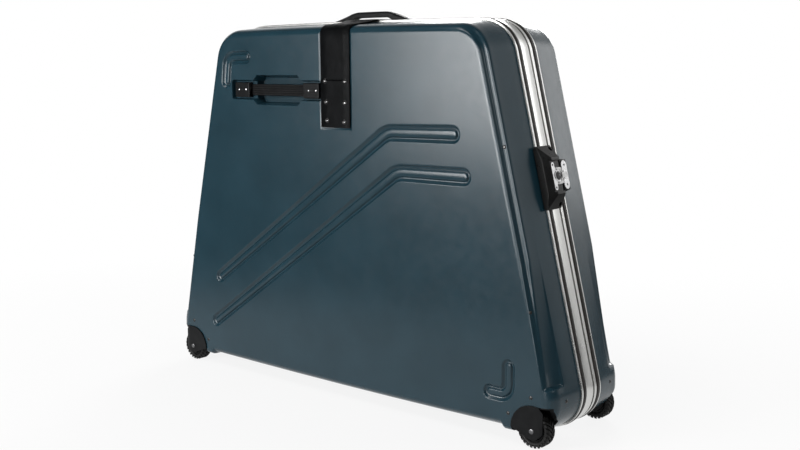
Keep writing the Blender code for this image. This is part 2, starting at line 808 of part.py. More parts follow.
def make_hub(half, side, label, material):
    """A moulded hub with five round openings and a boss that runs up to the housing's cheeks."""
    centre = wheel_centre(half, side)
    boss_out = HALF_DEPTH + HOUSING_PROUD - HOUSING_WALL - 0.0008 - WHEEL_Y
    boss_in = WHEEL_Y - HOUSING_INNER - HOUSING_WALL - 0.0008
    ends = (-boss_out, boss_in) if half is FRONT else (-boss_in, boss_out)
    web = 0.005
    rim = TYRE_WIDTH / 2 - 0.004
    bore = AXLE_R + GAP
    section = [
        (bore, ends[1]),
        (bore, ends[0]),
        (AXLE_R + 0.0045, ends[0]),
        (AXLE_R + 0.0045, -web),
        (HUB_R - 0.0045, -web),
        (HUB_R - 0.003, -rim),
        (HUB_R, -rim),
        (HUB_R, rim),
        (HUB_R - 0.003, rim),
        (HUB_R - 0.0045, web),
        (AXLE_R + 0.0045, web),
        (AXLE_R + 0.0045, ends[1]),
    ]
    made = object_from(
        lathe_y(shifted(section, centre.y), 15, (centre.x, centre.z)), "wheel_hub_" + label, material, 35
    )
    ring = (AXLE_R + 0.0045 + HUB_R - 0.0045) / 2
    openings = bmesh.new()
    for i in range(5):
        turn = math.tau * (i + 0.5) / 5
        spot = (centre.x + ring * math.cos(turn), centre.z + ring * math.sin(turn))
        rod_y(spot, 0.0042, centre.y - 0.02, centre.y + 0.02, 6, openings)
    cutter = helper(openings, f"wheel_hub_{label}_openings")
    set_origin(made, centre)
    combine(made, cutter)
    return made


def make_axle(half, side, label, material):
    """A riveted pin through both cheeks, with a domed head outside."""
    centre = wheel_centre(half, side)
    face = HALF_DEPTH + HOUSING_PROUD + GAP
    levels = [(AXLE_R, HOUSING_INNER + GAP), (AXLE_R, face), (AXLE_HEAD, face)]
    levels += [(AXLE_HEAD * math.cos(t), face + 0.0026 * math.sin(t)) for t in (0.5, 1.0)]
    rings = []
    for radius, depth in levels:
        ring = circle((centre.x, centre.z), radius, 12)
        rings.append([(x, half.sign * depth, z) for x, z in ring])
    made = object_from(loft(rings), "wheel_axle_" + label, material, 40)
    set_origin(made, centre)
    return made


def corner_plan(height, proud):
    """The shell's rounded corner in plan at a height beside the wheel, as (x, distance from the middle)."""
    out, depth = END_BULGE_SHOULDER
    drop = LOW_CENTRE[1] - height
    edge = LOW_CENTRE[0] + math.sqrt(BOTTOM_CORNER**2 - drop**2) - END_BULGE_DRAFT
    start = HALF_DEPTH - depth
    plan = []
    for i in range(6):
        turn = math.pi / 2 * i / 5
        x = edge - out * (1 - math.cos(turn)) + proud * math.cos(turn)
        plan.append((x, start + (depth + proud) * math.sin(turn)))
    return plan


def cheek_outline():
    """The cheeks of a housing: round over the wheel, then the free edge."""
    outline = over_wheel(0.0, 181)[:-1]
    return outline + [(WHEEL_X + 0.0165, HOUSING_ROOF)] + [(WHEEL_X + x, WHEEL_R + z) for x, z in CHEEK_EDGE]


def make_housing(half, side, label, material):
    """The corner housing: a hood over the wheel between two cheeks, open below and outward."""
    outer_face = HALF_DEPTH + HOUSING_PROUD
    cheeks = (HOUSING_INNER + HOUSING_WALL, outer_face - HOUSING_WALL)
    body = object_from(
        plate_xz(mirrored(cheek_outline(), side), half.sign * HOUSING_INNER, half.sign * outer_face),
        "wheel_housing_" + label,
        material,
        30,
    )
    past = HALF_LENGTH + 0.02
    plan = corner_plan(0.070, HOUSING_PROUD)
    plan = plan[1:] + [(plan[-1][0], past), (past, past), (past, plan[1][1])]
    outside = loft([[(side * x, half.sign * y, z) for x, y in plan] for z in (-0.02, 0.15)])
    combine(body, helper(outside, f"wheel_housing_{label}_corner"))
    near = WHEEL_X + 0.010
    far = WHEEL_X + HOUSING_OUTER
    ledge = NOTCH_Y + GAP * 2
    plan = [(near, HOUSING_INNER + 0.0005), (far, HOUSING_INNER + 0.0005), (far, ledge)]
    surface = corner_plan(HOUSING_ROOF - HOUSING_WALL, 0.0)
    after = next(i for i, point in enumerate(surface) if point[1] > ledge)
    share = (ledge - surface[after - 1][1]) / (surface[after][1] - surface[after - 1][1])
    plan.append((surface[after - 1][0] + share * (surface[after][0] - surface[after - 1][0]), ledge))
    plan += surface[after:] + [(near, surface[-1][1])]
    levels = (HOUSING_ROOF - HOUSING_WALL, HOUSING_ROOF)
    roof = [[(side * x, half.sign * y, z) for x, y in plan] for z in levels]
    combine(body, helper(loft(roof), f"wheel_housing_{label}_roof"), "UNION")
    chamber = over_wheel(-HOUSING_WALL - 0.0002, 205)
    chamber[-1] = (past, chamber[-1][1])
    chamber += [(past, -0.01), (chamber[0][0], -0.01)]
    cut = plate_xz(mirrored(chamber, side), half.sign * cheeks[0], half.sign * cheeks[1])
    combine(body, helper(cut, f"wheel_housing_{label}_chamber"))
    spot = (side * WHEEL_X, WHEEL_R)
    hole = rod_y(spot, AXLE_R + GAP, half.sign * (HOUSING_INNER - 0.01), half.sign * (outer_face + 0.01), 12)
    combine(body, helper(hole, f"wheel_housing_{label}_axle_hole"))
    return body


# Latches


def end_matrix(side):
    """From the end's own frame (out, along Y, up the end) to the world."""
    out = Vector((side * math.cos(END_LEAN), 0, math.sin(END_LEAN)))
    up = Vector((-side * math.sin(END_LEAN), 0, math.cos(END_LEAN)))
    place = Vector((side * end_x(LATCH_Z), 0, LATCH_Z))
    columns = Matrix((out, Vector((0, 1, 0)), up)).transposed().to_4x4()
    return Matrix.Translation(place) @ columns


def on_end(mesh_data, side):
    bmesh.ops.transform(mesh_data, matrix=end_matrix(side), verts=mesh_data.verts)
    return mesh_data


def plate_out(outline, out_a, out_b, mesh_data=None):
    """A plate with its outline in Y and up the end, between two distances out of it."""
    return loft([[(out, y, up) for y, up in outline] for out in (out_a, out_b)], mesh_data)


def make_guard(word, side, material):
    """The plastic block on the front frame that carries and shields the latch."""
    back = PARTING_Y - PARTING_GAP - 0.0005
    step_high, step_half = GUARD_STEP
    solid = bmesh.new()
    for up in (-1, 1):
        for y in (GUARD_FRONT, back):
            solid.verts.new((GAP, y, up * GUARD_HALF))
            solid.verts.new((GUARD_FOOT, y, up * GUARD_HALF))
        solid.verts.new((step_high, GUARD_FRONT, up * step_half))
        solid.verts.new((GUARD_HIGH, GUARD_CREST, up * GUARD_FLAT))
        solid.verts.new((GUARD_HIGH, back, up * GUARD_FLAT))
    bmesh.ops.convex_hull(solid, input=solid.verts)
    guard = object_from(on_end(solid, side), "latch_guard_" + word, material, 20)
    skirt_in = -LIP_PROUD + 0.0012
    reach = GUARD_HALF * 0.95
    skirt = box((skirt_in, GUARD_FRONT, -reach), (0.001, -frame_exit(FRONT) - GAP, reach))
    combine(guard, helper(on_end(skirt, side), f"latch_guard_{word}_skirt"), "UNION")
    floor = GUARD_HIGH - LATCH_SINK
    reach = LATCH_HALF + 0.001
    channel = box((floor, PLATE_LEFT - 0.0025, -reach), (GUARD_HIGH + 0.01, back + 0.01, reach))
    combine(guard, helper(on_end(channel, side), f"latch_guard_{word}_channel"))
    wells = bmesh.new()
    for up in (-1, 1):
        plate_out(circle((-0.0045, up * 0.0575), 0.0046, 12), 0.0035, GUARD_HIGH + 0.01, wells)
    combine(guard, helper(on_end(wells, side), f"latch_guard_{word}_screw_wells"))
    return guard


LATCH_FLOOR = GUARD_HIGH - LATCH_SINK + GAP
PLATE_TOP = LATCH_FLOOR + PLATE_THICK


def ear(y, up_tip, radius, way):
    """The rounded end of a plate's ear, as (y, up) points."""
    turn = (0, 180) if way > 0 else (180, 360)
    return arc((y, up_tip), radius, *turn, 5)


def make_latch_plate(word, side, material):
    """The plated base with two holed ears and a collar round the key."""
    right = PARTING_Y - PARTING_GAP - 0.0007
    tip = 0.0075
    ear_y = PLATE_LEFT + 0.0055
    outline = [(right, -PLATE_BODY), (right, PLATE_BODY), (ear_y + 0.0055, PLATE_BODY)]
    outline += ear(ear_y, LATCH_HALF - tip, 0.0055, 1)
    outline += ear(ear_y, tip - LATCH_HALF, 0.0055, -1)
    outline += [(ear_y + 0.0055, -PLATE_BODY)]
    plate = object_from(
        on_end(plate_out(outline, LATCH_FLOOR, PLATE_TOP), side), "latch_plate_" + word, material, 30
    )
    collar = plate_out(circle((KEY_Y, 0), KEY_R + COLLAR, 20), LATCH_FLOOR + 0.0002, PLATE_TOP + 0.0012)
    combine(plate, helper(on_end(collar, side), f"latch_plate_{word}_collar"), "UNION")
    holes = bmesh.new()
    plate_out(circle((KEY_Y, 0), KEY_R + GAP, 20), LATCH_FLOOR - 0.01, PLATE_TOP + 0.01, holes)
    for up in (tip - LATCH_HALF, LATCH_HALF - tip):
        plate_out(circle((ear_y, up), 0.0022, 8), LATCH_FLOOR - 0.01, PLATE_TOP + 0.01, holes)
    combine(plate, helper(on_end(holes, side), f"latch_plate_{word}_holes"))
    return plate


def make_key(word, side, material):
    """A turning disc with a low half-moon wing across it."""
    disc = object_from(
        on_end(plate_out(circle((KEY_Y, 0), KEY_R, 20), LATCH_FLOOR, PLATE_TOP + 0.0004), side),
        "latch_key_" + word,
        material,
        30,
    )
    reach = KEY_R * 0.86
    moon = [(PLATE_TOP, -reach), (PLATE_TOP, reach)]
    moon += [(PLATE_TOP + 0.0062 * math.sin(t), reach * math.cos(t)) for t in (0.45, 0.95, 1.57, 2.19, 2.69)]
    thick = 0.0011
    wing = loft([[(n, y, t) for n, t in moon] for y in (KEY_Y - thick, KEY_Y + thick)])
    combine(disc, helper(on_end(wing, side), f"latch_key_{word}_wing"), "UNION")
    set_origin(disc, end_matrix(side) @ Vector((LATCH_FLOOR, KEY_Y, 0)))
    return disc


RIDGE = (0.0010, 0.0015)  # height and half width of the keeper's ridge


def keeper_ridge_y():
    return KEEPER_FRONT + 0.006


def make_hook(word, side, material):
    """The draw hook: a fork on the plate, round the collar, and a tongue over the keeper's ridge."""
    low = PLATE_TOP + GAP
    high = PLATE_TOP + RIDGE[0] + GAP
    near = KEY_Y + KEY_R + COLLAR + 0.0007
    start = KEY_Y - 0.002
    wide = PLATE_BODY - 0.0008
    arm = KEY_R + COLLAR + 0.0008
    fork = [(start, -wide), (near + 0.003, -wide), (near + 0.003, wide), (start, wide)]
    fork += [(start, arm), (near, arm), (near, -arm), (start, -arm)]
    hook = object_from(on_end(plate_out(fork, low, low + 0.0014), side), "latch_hook_" + word, material, 30)
    tip = keeper_ridge_y() + RIDGE[1] + HOOK_TRAVEL + 0.001
    half = HOOK_WIDTH / 2
    tongue = [(near + 0.0004, -half), (tip - 0.003, -half), (tip, 0.0025 - half), (tip, half - 0.0025)]
    tongue += [(tip - 0.003, half), (near + 0.0004, half)]
    bar = plate_out(tongue, high, high + 0.0022)
    combine(hook, helper(on_end(bar, side), f"latch_hook_{word}_tongue"), "UNION")
    set_origin(hook, end_matrix(side) @ Vector((low, near, 0)))
    return hook


def make_keeper(word, side, block_material, plate_material):
    """The rear half's block and its plate with two holed round ends and a ridge for the hook."""
    slope = 0.010
    shape = [
        (GAP, -LATCH_HALF - slope * 0.5),
        (GUARD_HIGH - LATCH_SINK, -LATCH_HALF),
        (GUARD_HIGH - LATCH_SINK, LATCH_HALF),
        (GAP, LATCH_HALF + slope * 0.5),
    ]
    back = KEEPER_FRONT + KEEPER_WIDE
    solid = loft([[(n, y, t) for n, t in shape] for y in (KEEPER_FRONT, back)])
    block = object_from(on_end(solid, side), "keeper_block_" + word, block_material, 30)
    left, right = KEEPER_FRONT + 0.001, back - 0.0025
    middle = (left + right) / 2
    round_end = (right - left) / 2
    reach = LATCH_HALF - 0.001 - round_end
    outline = arc((middle, reach), round_end, 0, 180, 8) + arc((middle, -reach), round_end, 180, 360, 8)
    plate = object_from(
        on_end(plate_out(outline, LATCH_FLOOR, PLATE_TOP), side), "keeper_plate_" + word, plate_material, 30
    )
    y = keeper_ridge_y()
    ridge = box((PLATE_TOP - 0.0005, y - RIDGE[1], -0.009), (PLATE_TOP + RIDGE[0], y + RIDGE[1], 0.009))
    combine(plate, helper(on_end(ridge, side), f"keeper_plate_{word}_ridge"), "UNION")
    holes = bmesh.new()
    for up in (-reach, reach):
        plate_out(circle((middle + 0.001, up), 0.0024, 8), LATCH_FLOOR - 0.01, PLATE_TOP + 0.01, holes)
    combine(plate, helper(on_end(holes, side), f"keeper_plate_{word}_holes"))
    return block, plate


# Closing strap


def offset_line(points, distance):
    """The line through 2-D points moved sideways, with mitred bends."""
    points = [Vector(p) for p in points]
    ways = [(b - a).normalized() for a, b in zip(points, points[1:])]
    sides = [Vector((-w.y, w.x)) for w in ways]
    made = [points[0] + sides[0] * distance]
    for point, before, after in zip(points[1:], sides, sides[1:]):
        middle = (before + after).normalized()
        made.append(point + middle * (distance / middle.dot(before)))
    made.append(points[-1] + sides[-1] * distance)
    return made


def flat_strip(line, thick, widths, x_middle):
    """A band of (y, z) points, its width along X, its corners slightly cut."""
    near = offset_line(line, 0.0)
    far = offset_line(line, thick)
    rings = []
    for low, high, width in zip(near, far, widths):
        half = width / 2
        rings.append(
            [
                (x_middle - half, low.x, low.y),
                (x_middle + half, low.x, low.y),
                (x_middle + half, high.x, high.y),
                (x_middle - half, high.x, high.y),
            ]
        )
    return loft(rings)


def strap_line():
    """The strap's inner side, up the face, round the shoulder and over the frames, as (y, z)."""
    station = min(case_outline(), key=lambda s: abs(s.x) - s.z)
    section = [p for p in shell_section(station, FRONT) if p[1] > RECESS_SIDE + RECESS_SLOPE]
    shoulder = [(-depth, CASE_TOP - inset) for inset, depth in reversed(section)]
    over_shoulder = offset_line(shoulder, GAP)
    lip = CASE_TOP + GAP
    floor = -(HALF_DEPTH - CHANNEL_DEPTH) - GAP
    foot = CASE_TOP - STRAP_DROP
    kept = [p for p in over_shoulder if p.x > floor]
    made = [(floor, foot), (floor, foot + 0.006), (floor, kept[0].y - 0.002)]
    made += [tuple(p) for p in kept]
    leave = frame_exit(FRONT)
    ramp = CASE_TOP - LIP_PROUD - 0.0012
    made += [(-leave - 0.026, ramp), (-leave - 0.004, lip), (-leave + 0.012, lip), (STRAP_TAIL, lip)]
    return made


def make_strap(material):
    line = strap_line()
    widths = [STRAP_WIDTH - 0.006] + [STRAP_WIDTH] * (len(line) - 1)
    return object_from(flat_strip(line, STRAP_THICK, widths, STRAP_X), "closing_strap", material, 40)


def make_hook_patch(material):
    """Hook tape on the rear shell, under the strap's free end."""
    near = frame_exit(REAR) + 0.001
    far = STRAP_TAIL + 0.002
    slope = (TOP_DRAFT - LIP_PROUD) / (HALF_DEPTH - TOP_SHOULDER[1] - frame_exit(REAR))

    def base(y):
        return CASE_TOP - LIP_PROUD - slope * (y - frame_exit(REAR)) + GAP

    shape = [(near, base(near)), (far, base(far)), (far, CASE_TOP), (near, CASE_TOP)]
    half = STRAP_WIDTH / 2 - 0.006
    rings = [[(x, y, z) for y, z in shape] for x in (STRAP_X - half, STRAP_X + half)]
    return object_from(loft(rings), "strap_hook_patch", material)


# Side grip


def grip_cap_span(word):
    if word == "left":
        return CAP_LEFT, CAP_LEFT + CAP_LENGTH
    return CAP_RIGHT - CAP_LENGTH, CAP_RIGHT


def make_grip_cap(word, material):
    """A moulded cap screwed in the recess; the strap's end floats in the hollow under it."""
    left, right = grip_cap_span(word)
    half = CAP_HEIGHT / 2
    floor = HALF_DEPTH - RECESS_BACK + GAP
    top = HALF_DEPTH + 0.0005
    chamfer = 0.0015
    rings = []
    for depth, shrink in ((floor, 0.0), (top - chamfer, 0.0), (top, chamfer)):
        a, b, h = left + shrink, right - shrink, half - shrink
        outline = [(a, GRIP_Z - h), (b, GRIP_Z - h), (b, GRIP_Z + h), (a, GRIP_Z + h)]
        rings.append([(x, -depth, z) for x, z in outline])
    cap = object_from(loft(rings), "side_grip_cap_" + word, material, 30)
    inner = right if word == "left" else left
    way = -1 if word == "left" else 1
    a, b = sorted((inner - way * 0.01, inner + way * (GRIP_TONGUE + 0.002)))
    high = GRIP_HEIGHT / 2 + 0.0012
    hollow = box((a, -floor + 0.01, GRIP_Z - high), (b, -(top - CAP_WALL), GRIP_Z + high))
    combine(cap, helper(hollow, f"side_grip_cap_{word}_hollow"))
    return cap


def make_side_grip(material):
    """A flat band with ribs along its outer side, its ends under the caps."""
    left = grip_cap_span("left")[1] - GRIP_TONGUE
    right = grip_cap_span("right")[0] + GRIP_TONGUE
    back = HALF_DEPTH - RECESS_BACK + GAP
    half = GRIP_HEIGHT / 2
    section = [(back, GRIP_Z - half), (back, GRIP_Z + half)]
    pitch = GRIP_HEIGHT / GRIP_RIBS
    for i in range(GRIP_RIBS):
        edge = GRIP_Z + half - i * pitch
        section.append((back + GRIP_THICK - 0.0006, edge - pitch * 0.08))
        section.append((back + GRIP_THICK, edge - pitch * 0.30))
        section.append((back + GRIP_THICK, edge - pitch * 0.70))
        section.append((back + GRIP_THICK - 0.0006, edge - pitch * 0.92))
    rings = [[(x, -depth, z) for depth, z in section] for x in (left, right)]
    grip = object_from(loft(rings), "side_grip_band", material, 30)
    set_origin(grip, ((left + right) / 2, -back, GRIP_Z))
    return grip


# Carry handle


def handle_y():
    """Middle of the front frame's band."""
    leave = -frame_exit(FRONT)
    return (leave + FRONT_LIP + TRIM_WIDTH + PARTING_Y - PARTING_GAP) / 2 - 0.0045


def frame_top(x):
    """Height of the frames' upper side, which falls a little from the middle outward."""
    return CASE_TOP - TOP_CROWN / 4 * min(1.0, 2 * abs(x) / TOP_CENTRE[0]) - BAND_DROP


def handle_height(offset):
    """Height of the handle's upper side over the frame."""
    return HANDLE_RISE * (1 - smooth((abs(offset) - HANDLE_LEVEL) / HANDLE_FALL))


def handle_under(offset):
    share = smooth((abs(offset) - HANDLE_UNDER_LEVEL) / (HANDLE_CAPS[0] - HANDLE_UNDER_LEVEL))
    return HANDLE_UNDER + (0.0015 - HANDLE_UNDER) * share


def handle_ring(offset, low, high, half, round_off=0.0045):
    """Eight points across the handle, its upper edges more rounded than its lower ones."""
    y = handle_y()
    cut = min(round_off, (high - low) * 0.35)
    trim = min(0.0012, (high - low) * 0.25)
    shape = [(trim - half, low), (half - trim, low), (half, low + trim), (half, high - cut)]
    shape += [(half - cut, high), (cut - half, high), (-half, high - cut), (-half, low + trim)]
    base = frame_top(HANDLE_X + offset)
    return [(HANDLE_X + offset, y + across, base + up) for across, up in shape]


def make_carry_handle(material):
    """The arch, with a thin tongue at each end that runs into its cap."""
    edge = HANDLE_CAPS[0] - 0.0004
    half_steps = [0.0, 0.013, 0.026, 0.038, 0.046, 0.053, 0.060, edge]
    steps = [-s for s in reversed(half_steps[1:])] + half_steps
    half = HANDLE_WIDTH / 2
    rings = [handle_ring(s, handle_under(s), handle_height(s), half) for s in steps]
    arch = object_from(loft(rings), "carry_handle", material, 40)
    long, thick = HANDLE_TONGUE
    low = 0.0017
    inner = half - HANDLE_CAP_WALL - 0.0008
    for word, side in (("left", -1), ("right", 1)):
        spans = (edge - 0.006, edge + long)
        tongue = loft([handle_ring(side * s, low, low + thick, inner) for s in spans])
        combine(arch, helper(tongue, f"carry_handle_{word}_tongue"), "UNION")
    set_origin(arch, (HANDLE_X, handle_y(), CASE_TOP))
    return arch


def make_handle_cap(word, side, material):
    """A moulded cap on the front frame; the handle's tongue rides up and down in its hollow."""
    first, last = HANDLE_CAPS
    half = HANDLE_WIDTH / 2
    steps = [first + (last - first) * share for share in (0.0, 0.25, 0.5, 0.75, 1.0)]
    rings = [handle_ring(side * s, GAP, handle_height(s), half) for s in steps]
    cap = object_from(loft(rings), "carry_handle_cap_" + word, material, 40)
    long, thick = HANDLE_TONGUE
    low, high = 0.0011, 0.0017 + thick + HANDLE_TRAVEL + 0.0008
    inner = half - HANDLE_CAP_WALL
    ends = (first - 0.01, first + long + 0.001)
    hollow = loft([handle_ring(side * s, low, high, inner, 0.0003) for s in ends])
    combine(cap, helper(hollow, f"carry_handle_cap_{word}_hollow"))
    return cap


# Inside


def make_foam(half, material):
    """A flat pad on the face's inside, clear of the wheel pockets and of the grip's recess."""
    back = HALF_DEPTH - GROOVE_DEPTH - SHELL_WALL - GAP
    stations = case_outline()
    rings = []
    for depth in (back, back - FOAM_THICK):
        ring = []
        for station in stations:
            x, y, z = on_outline(station, FOAM_INSET, half.sign * depth)
            limit = end_x(FOAM_BOTTOM) - FOAM_INSET
            ring.append((max(-limit, min(limit, x)), y, max(FOAM_BOTTOM + (z - CASE_BOTTOM) * 0.01, z)))
        rings.append(ring)
    pad = object_from(loft(rings), half.name + "_foam_pad", material)
    if half is FRONT:
        clear = SHELL_WALL + 0.006
        low = (RECESS_LEFT - clear, -back - 0.01, GRIP_Z - POCKET_HIGH / 2 - clear)
        right = STRAP_X - STRAP_WIDTH / 2 + clear
        high = (right, -back + FOAM_THICK + 0.01, GRIP_Z + POCKET_HIGH / 2 + clear)
        combine(pad, helper(box(low, high), "foam_notch"))
    return pad


def make_tie(word, height, strap_material, buckle_material):
    """A tie-down strap across the rear pad and the ladder buckle on it."""
    pad_face = HALF_DEPTH - GROOVE_DEPTH - SHELL_WALL - GAP - FOAM_THICK
    strap_back = pad_face - GAP
    strap_face = strap_back - TIE_THICK
    half = TIE_WIDTH / 2
    reach = TIE_LENGTH / 2
    strap = box((-reach, strap_face, height - half), (reach, strap_back, height + half))
    made = [object_from(strap, "tie_strap_" + word, strap_material)]
    width, thick, high = BUCKLE
    x = 0.06
    top = strap_face - GAP
    body = box((x - width / 2, top - thick, height - high / 2), (x + width / 2, top, height + high / 2))
    buckle = object_from(body, "tie_buckle_" + word, buckle_material)
    slots = bmesh.new()
    slot = TIE_THICK + 0.0002
    for shift in (-0.011, 0.011):
        near = (x + shift - slot, top - thick - 0.01, height - half)
        box(near, (x + shift + slot, top + 0.01, height + half), slots)
    combine(buckle, helper(slots, f"tie_buckle_{word}_slots"))
    made.append(buckle)
    return made


# Assembly


def attach(children, parent):
    """Parents the objects to an empty and leaves them where they are."""
    for child in children:
        child.parent = parent
        child.matrix_parent_inverse = parent.matrix_world.inverted()


def pivot(name, place):
    made = bpy.data.objects.new(name, None)
    made.location = place
    bpy.context.scene.collection.objects.link(made)
    bpy.context.view_layer.update()
    return made


def build():
    for old in list(bpy.data.objects):
        bpy.data.objects.remove(old)
    shell = finish("pressed_shell", (0.030, 0.062, 0.082), 0.42)
    aluminium = finish("brushed_aluminium", (0.62, 0.62, 0.60), 0.32, 1.0)
    trim = finish("dark_trim", (0.016, 0.014, 0.013), 0.55)
    rubber = finish("black_rubber", (0.012, 0.012, 0.012), 0.75)
    plastic = finish("black_plastic", (0.016, 0.017, 0.018), 0.45)
    steel = finish("plated_steel", (0.72, 0.72, 0.72), 0.18, 1.0)
    band = finish("black_band", (0.020, 0.021, 0.022), 0.55)
    foam = finish("grey_foam", (0.050, 0.052, 0.055), 0.95)

    lid = []
    for half in (FRONT, REAR):
        made = [make_shell(half, shell), make_trim(half, trim), make_foam(half, foam)]
        section = front_frame_section() if half is FRONT else rear_frame_section()
        made.append(swept(section, half.name + "_frame", aluminium))
        for word, side in (("left", -1), ("right", 1)):
            label = f"{half.name}_{word}"
            made.append(make_housing(half, side, label, plastic))
            made.append(make_axle(half, side, label, steel))
            wheel = [make_tyre(half, side, label, rubber), make_hub(half, side, label, plastic)]
            turning = pivot("wheel_" + label, wheel_centre(half, side))
            attach(wheel, turning)
            made.append(turning)
        if half is FRONT:
            lid += made
    make_seal(rubber)
    for word, side in (("left", -1), ("right", 1)):
        lid.append(make_hinge(word, side, steel)[0])
        lid.append(make_guard(word, side, plastic))
        lid.append(make_latch_plate(word, side, steel))
        lid.append(make_key(word, side, steel))
        lid.append(make_hook(word, side, steel))
        make_keeper(word, side, plastic, steel)
        lid.append(make_grip_cap(word, plastic))
    lid.append(make_strap(band))
    make_hook_patch(band)
    lid.append(make_side_grip(band))
    lid.append(make_carry_handle(plastic))
    for word, side in (("left", -1), ("right", 1)):
        lid.append(make_handle_cap(word, side, plastic))
    for word, height in zip(("lower", "upper"), TIE_HEIGHTS):
        make_tie(word, height, band, plastic)
    attach(lid, pivot("lid_hinge_line", (0, PARTING_Y, HINGE_Z)))


build()
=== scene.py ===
import json
import math
from collections import namedtuple

import bmesh
import bpy
from mathutils import Matrix, Vector
from mathutils.geometry import delaunay_2d_cdt


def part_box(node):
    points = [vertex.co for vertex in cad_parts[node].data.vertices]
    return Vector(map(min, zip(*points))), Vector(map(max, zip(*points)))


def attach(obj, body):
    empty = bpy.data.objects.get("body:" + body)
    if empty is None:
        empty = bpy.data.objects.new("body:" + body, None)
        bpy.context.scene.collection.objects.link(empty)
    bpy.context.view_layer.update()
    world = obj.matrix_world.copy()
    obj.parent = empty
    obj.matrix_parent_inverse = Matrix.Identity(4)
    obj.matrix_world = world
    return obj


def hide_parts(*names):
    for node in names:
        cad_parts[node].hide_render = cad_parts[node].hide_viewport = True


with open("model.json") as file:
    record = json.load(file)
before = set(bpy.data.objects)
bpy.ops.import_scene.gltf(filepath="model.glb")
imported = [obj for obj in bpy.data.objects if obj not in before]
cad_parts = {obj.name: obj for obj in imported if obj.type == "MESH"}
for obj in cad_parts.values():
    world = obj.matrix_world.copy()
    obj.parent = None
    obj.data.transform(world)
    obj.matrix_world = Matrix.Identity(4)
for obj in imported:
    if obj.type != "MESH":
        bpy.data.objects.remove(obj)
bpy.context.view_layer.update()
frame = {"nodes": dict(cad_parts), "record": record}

# Shells. Each half of the case is one sheet of grained ABS plastic, 3 mm thick, drawn over a mould. Grooves
# pressed into its face stiffen it, a hollow narrows each end above a ledge, and each bottom corner has
# a seat for a wheel housing. The frame grips the sheet's edge all the way round.

# The outline: half the bottom's length, the heights, the ends' lean, the corners, and the crowns
HALF_LENGTH, CASE_TOP, CASE_BOTTOM = 0.6106, 0.864, 0.019
END_LEAN = math.radians(13.66)
TOP_CORNER, BOTTOM_CORNER = 0.092, 0.0805
TOP_CROWN, BOTTOM_CROWN = 0.0028, 0.008
# The depth of a half, where the halves meet, the sheet, the frame's lip over it, and the play between pieces
HALF_DEPTH, PARTING_Y, SHELL_WALL, LIP_PROUD, GAP = 0.134, 0.0045, 0.003, 0.004, 0.0003
# How far each side is drawn in where its shoulder starts, and the shoulder's width and depth. A corner
# goes from one section where it faces outward to another where it faces down.
SIDES = {
    "low": (0.006, 0.0195, 0.030),
    "end": (0.011, 0.0225, 0.020),
    "top": (0.010, 0.0207, 0.030),
    "corner_out": (0.010, 0.030, 0.032),
    "corner_down": (0.002, 0.011, 0.014),
}
# Where the bottom's shoulder gives way to the corner's, and within what length
LOW_END, LOW_RAMP = 0.449, 0.012
# The first row of points below the frame, the share of the wall that the inner shoulder loses, and its least
WALL_ROW, INNER_PINCH, LEAST_SHOULDER = 0.024, 0.6, 0.004
# The valley along an end's shoulder, and the hollow over the ledge. The hollow steps in by a share of its
# depth on the frame's side, slopes from there to the shoulder, and runs out at its top.
VALLEY_DEPTH, HOLLOW_DEPTH, HOLLOW_TOP = 0.005, 0.0145, 0.385
HOLLOW_SIDE, HOLLOW_STEP, HOLLOW_SHARE = 0.088, 0.006, 0.36
LEDGE_LOW, LEDGE_TOP = 0.1285, 0.138
# The strap's channel falls in steps between these distances from the strap's middle
STRAP_WIDTH, STRAP_DROP, CHANNEL_DEPTH = 0.089, 0.2365, 0.002
CHANNEL_EDGES = [STRAP_WIDTH / 2 + 0.0058 - 0.0008 * i for i in range(8)]
CHANNEL_LOW = CASE_TOP - STRAP_DROP - 0.001

# Of each half: its side, the depth at which the sheet leaves the frame, and the depth of the sheet's edge
Half = namedtuple("Half", "name sign leave edge")
FRONT, REAR = Half("front", -1, 0.0400, 0.0123), Half("rear", 1, 0.0330, 0.0150)
# Of each point of the outline: the way out of the case, and the measures of the sheet's section there
Edge = namedtuple("Edge", "x z nx nz draft across deep hollow valley")


def smooth(share):
    """The share, kept between 0 and 1, with soft ends."""
    share = min(1.0, max(0.0, share))
    return share * share * (3 - 2 * share)


def corner_centre(height, radius, way):
    """The centre of the arc between a level side at that height and the leaning end, above or below it."""
    reach = HALF_LENGTH * math.cos(END_LEAN) + CASE_BOTTOM * math.sin(END_LEAN)
    z = height + way * radius
    return (reach - radius - z * math.sin(END_LEAN)) / math.cos(END_LEAN), z


LOW_CENTRE = corner_centre(CASE_BOTTOM, BOTTOM_CORNER, 1)
TOP_CENTRE = corner_centre(CASE_TOP, TOP_CORNER, -1)


def end_x(z):
    """How far the leaning end reaches at a height."""
    return HALF_LENGTH - (z - CASE_BOTTOM) * math.tan(END_LEAN)


def edge_at(x, z, angle, low=0.0, end=0.0, top=0.0, hollow=0.0):
    """A point of the case's outline, with the pressed section there mixed from those of the sides."""
    corner = 1.0 - low - end - top
    down = corner * smooth(-math.sin(angle))
    shares = {"low": low, "end": end, "top": top, "corner_out": corner - down, "corner_down": down}
    mixed = [sum(shares[side] * SIDES[side][i] for side in SIDES) for i in range(3)]
    z -= TOP_CROWN * min(1.0, abs(x / TOP_CENTRE[0])) ** 2 * max(0.0, math.sin(angle))
    valley = VALLEY_DEPTH * end * (1.0 - hollow / HOLLOW_DEPTH)
    return Edge(x, z, math.cos(angle), math.sin(angle), *mixed, hollow, valley)


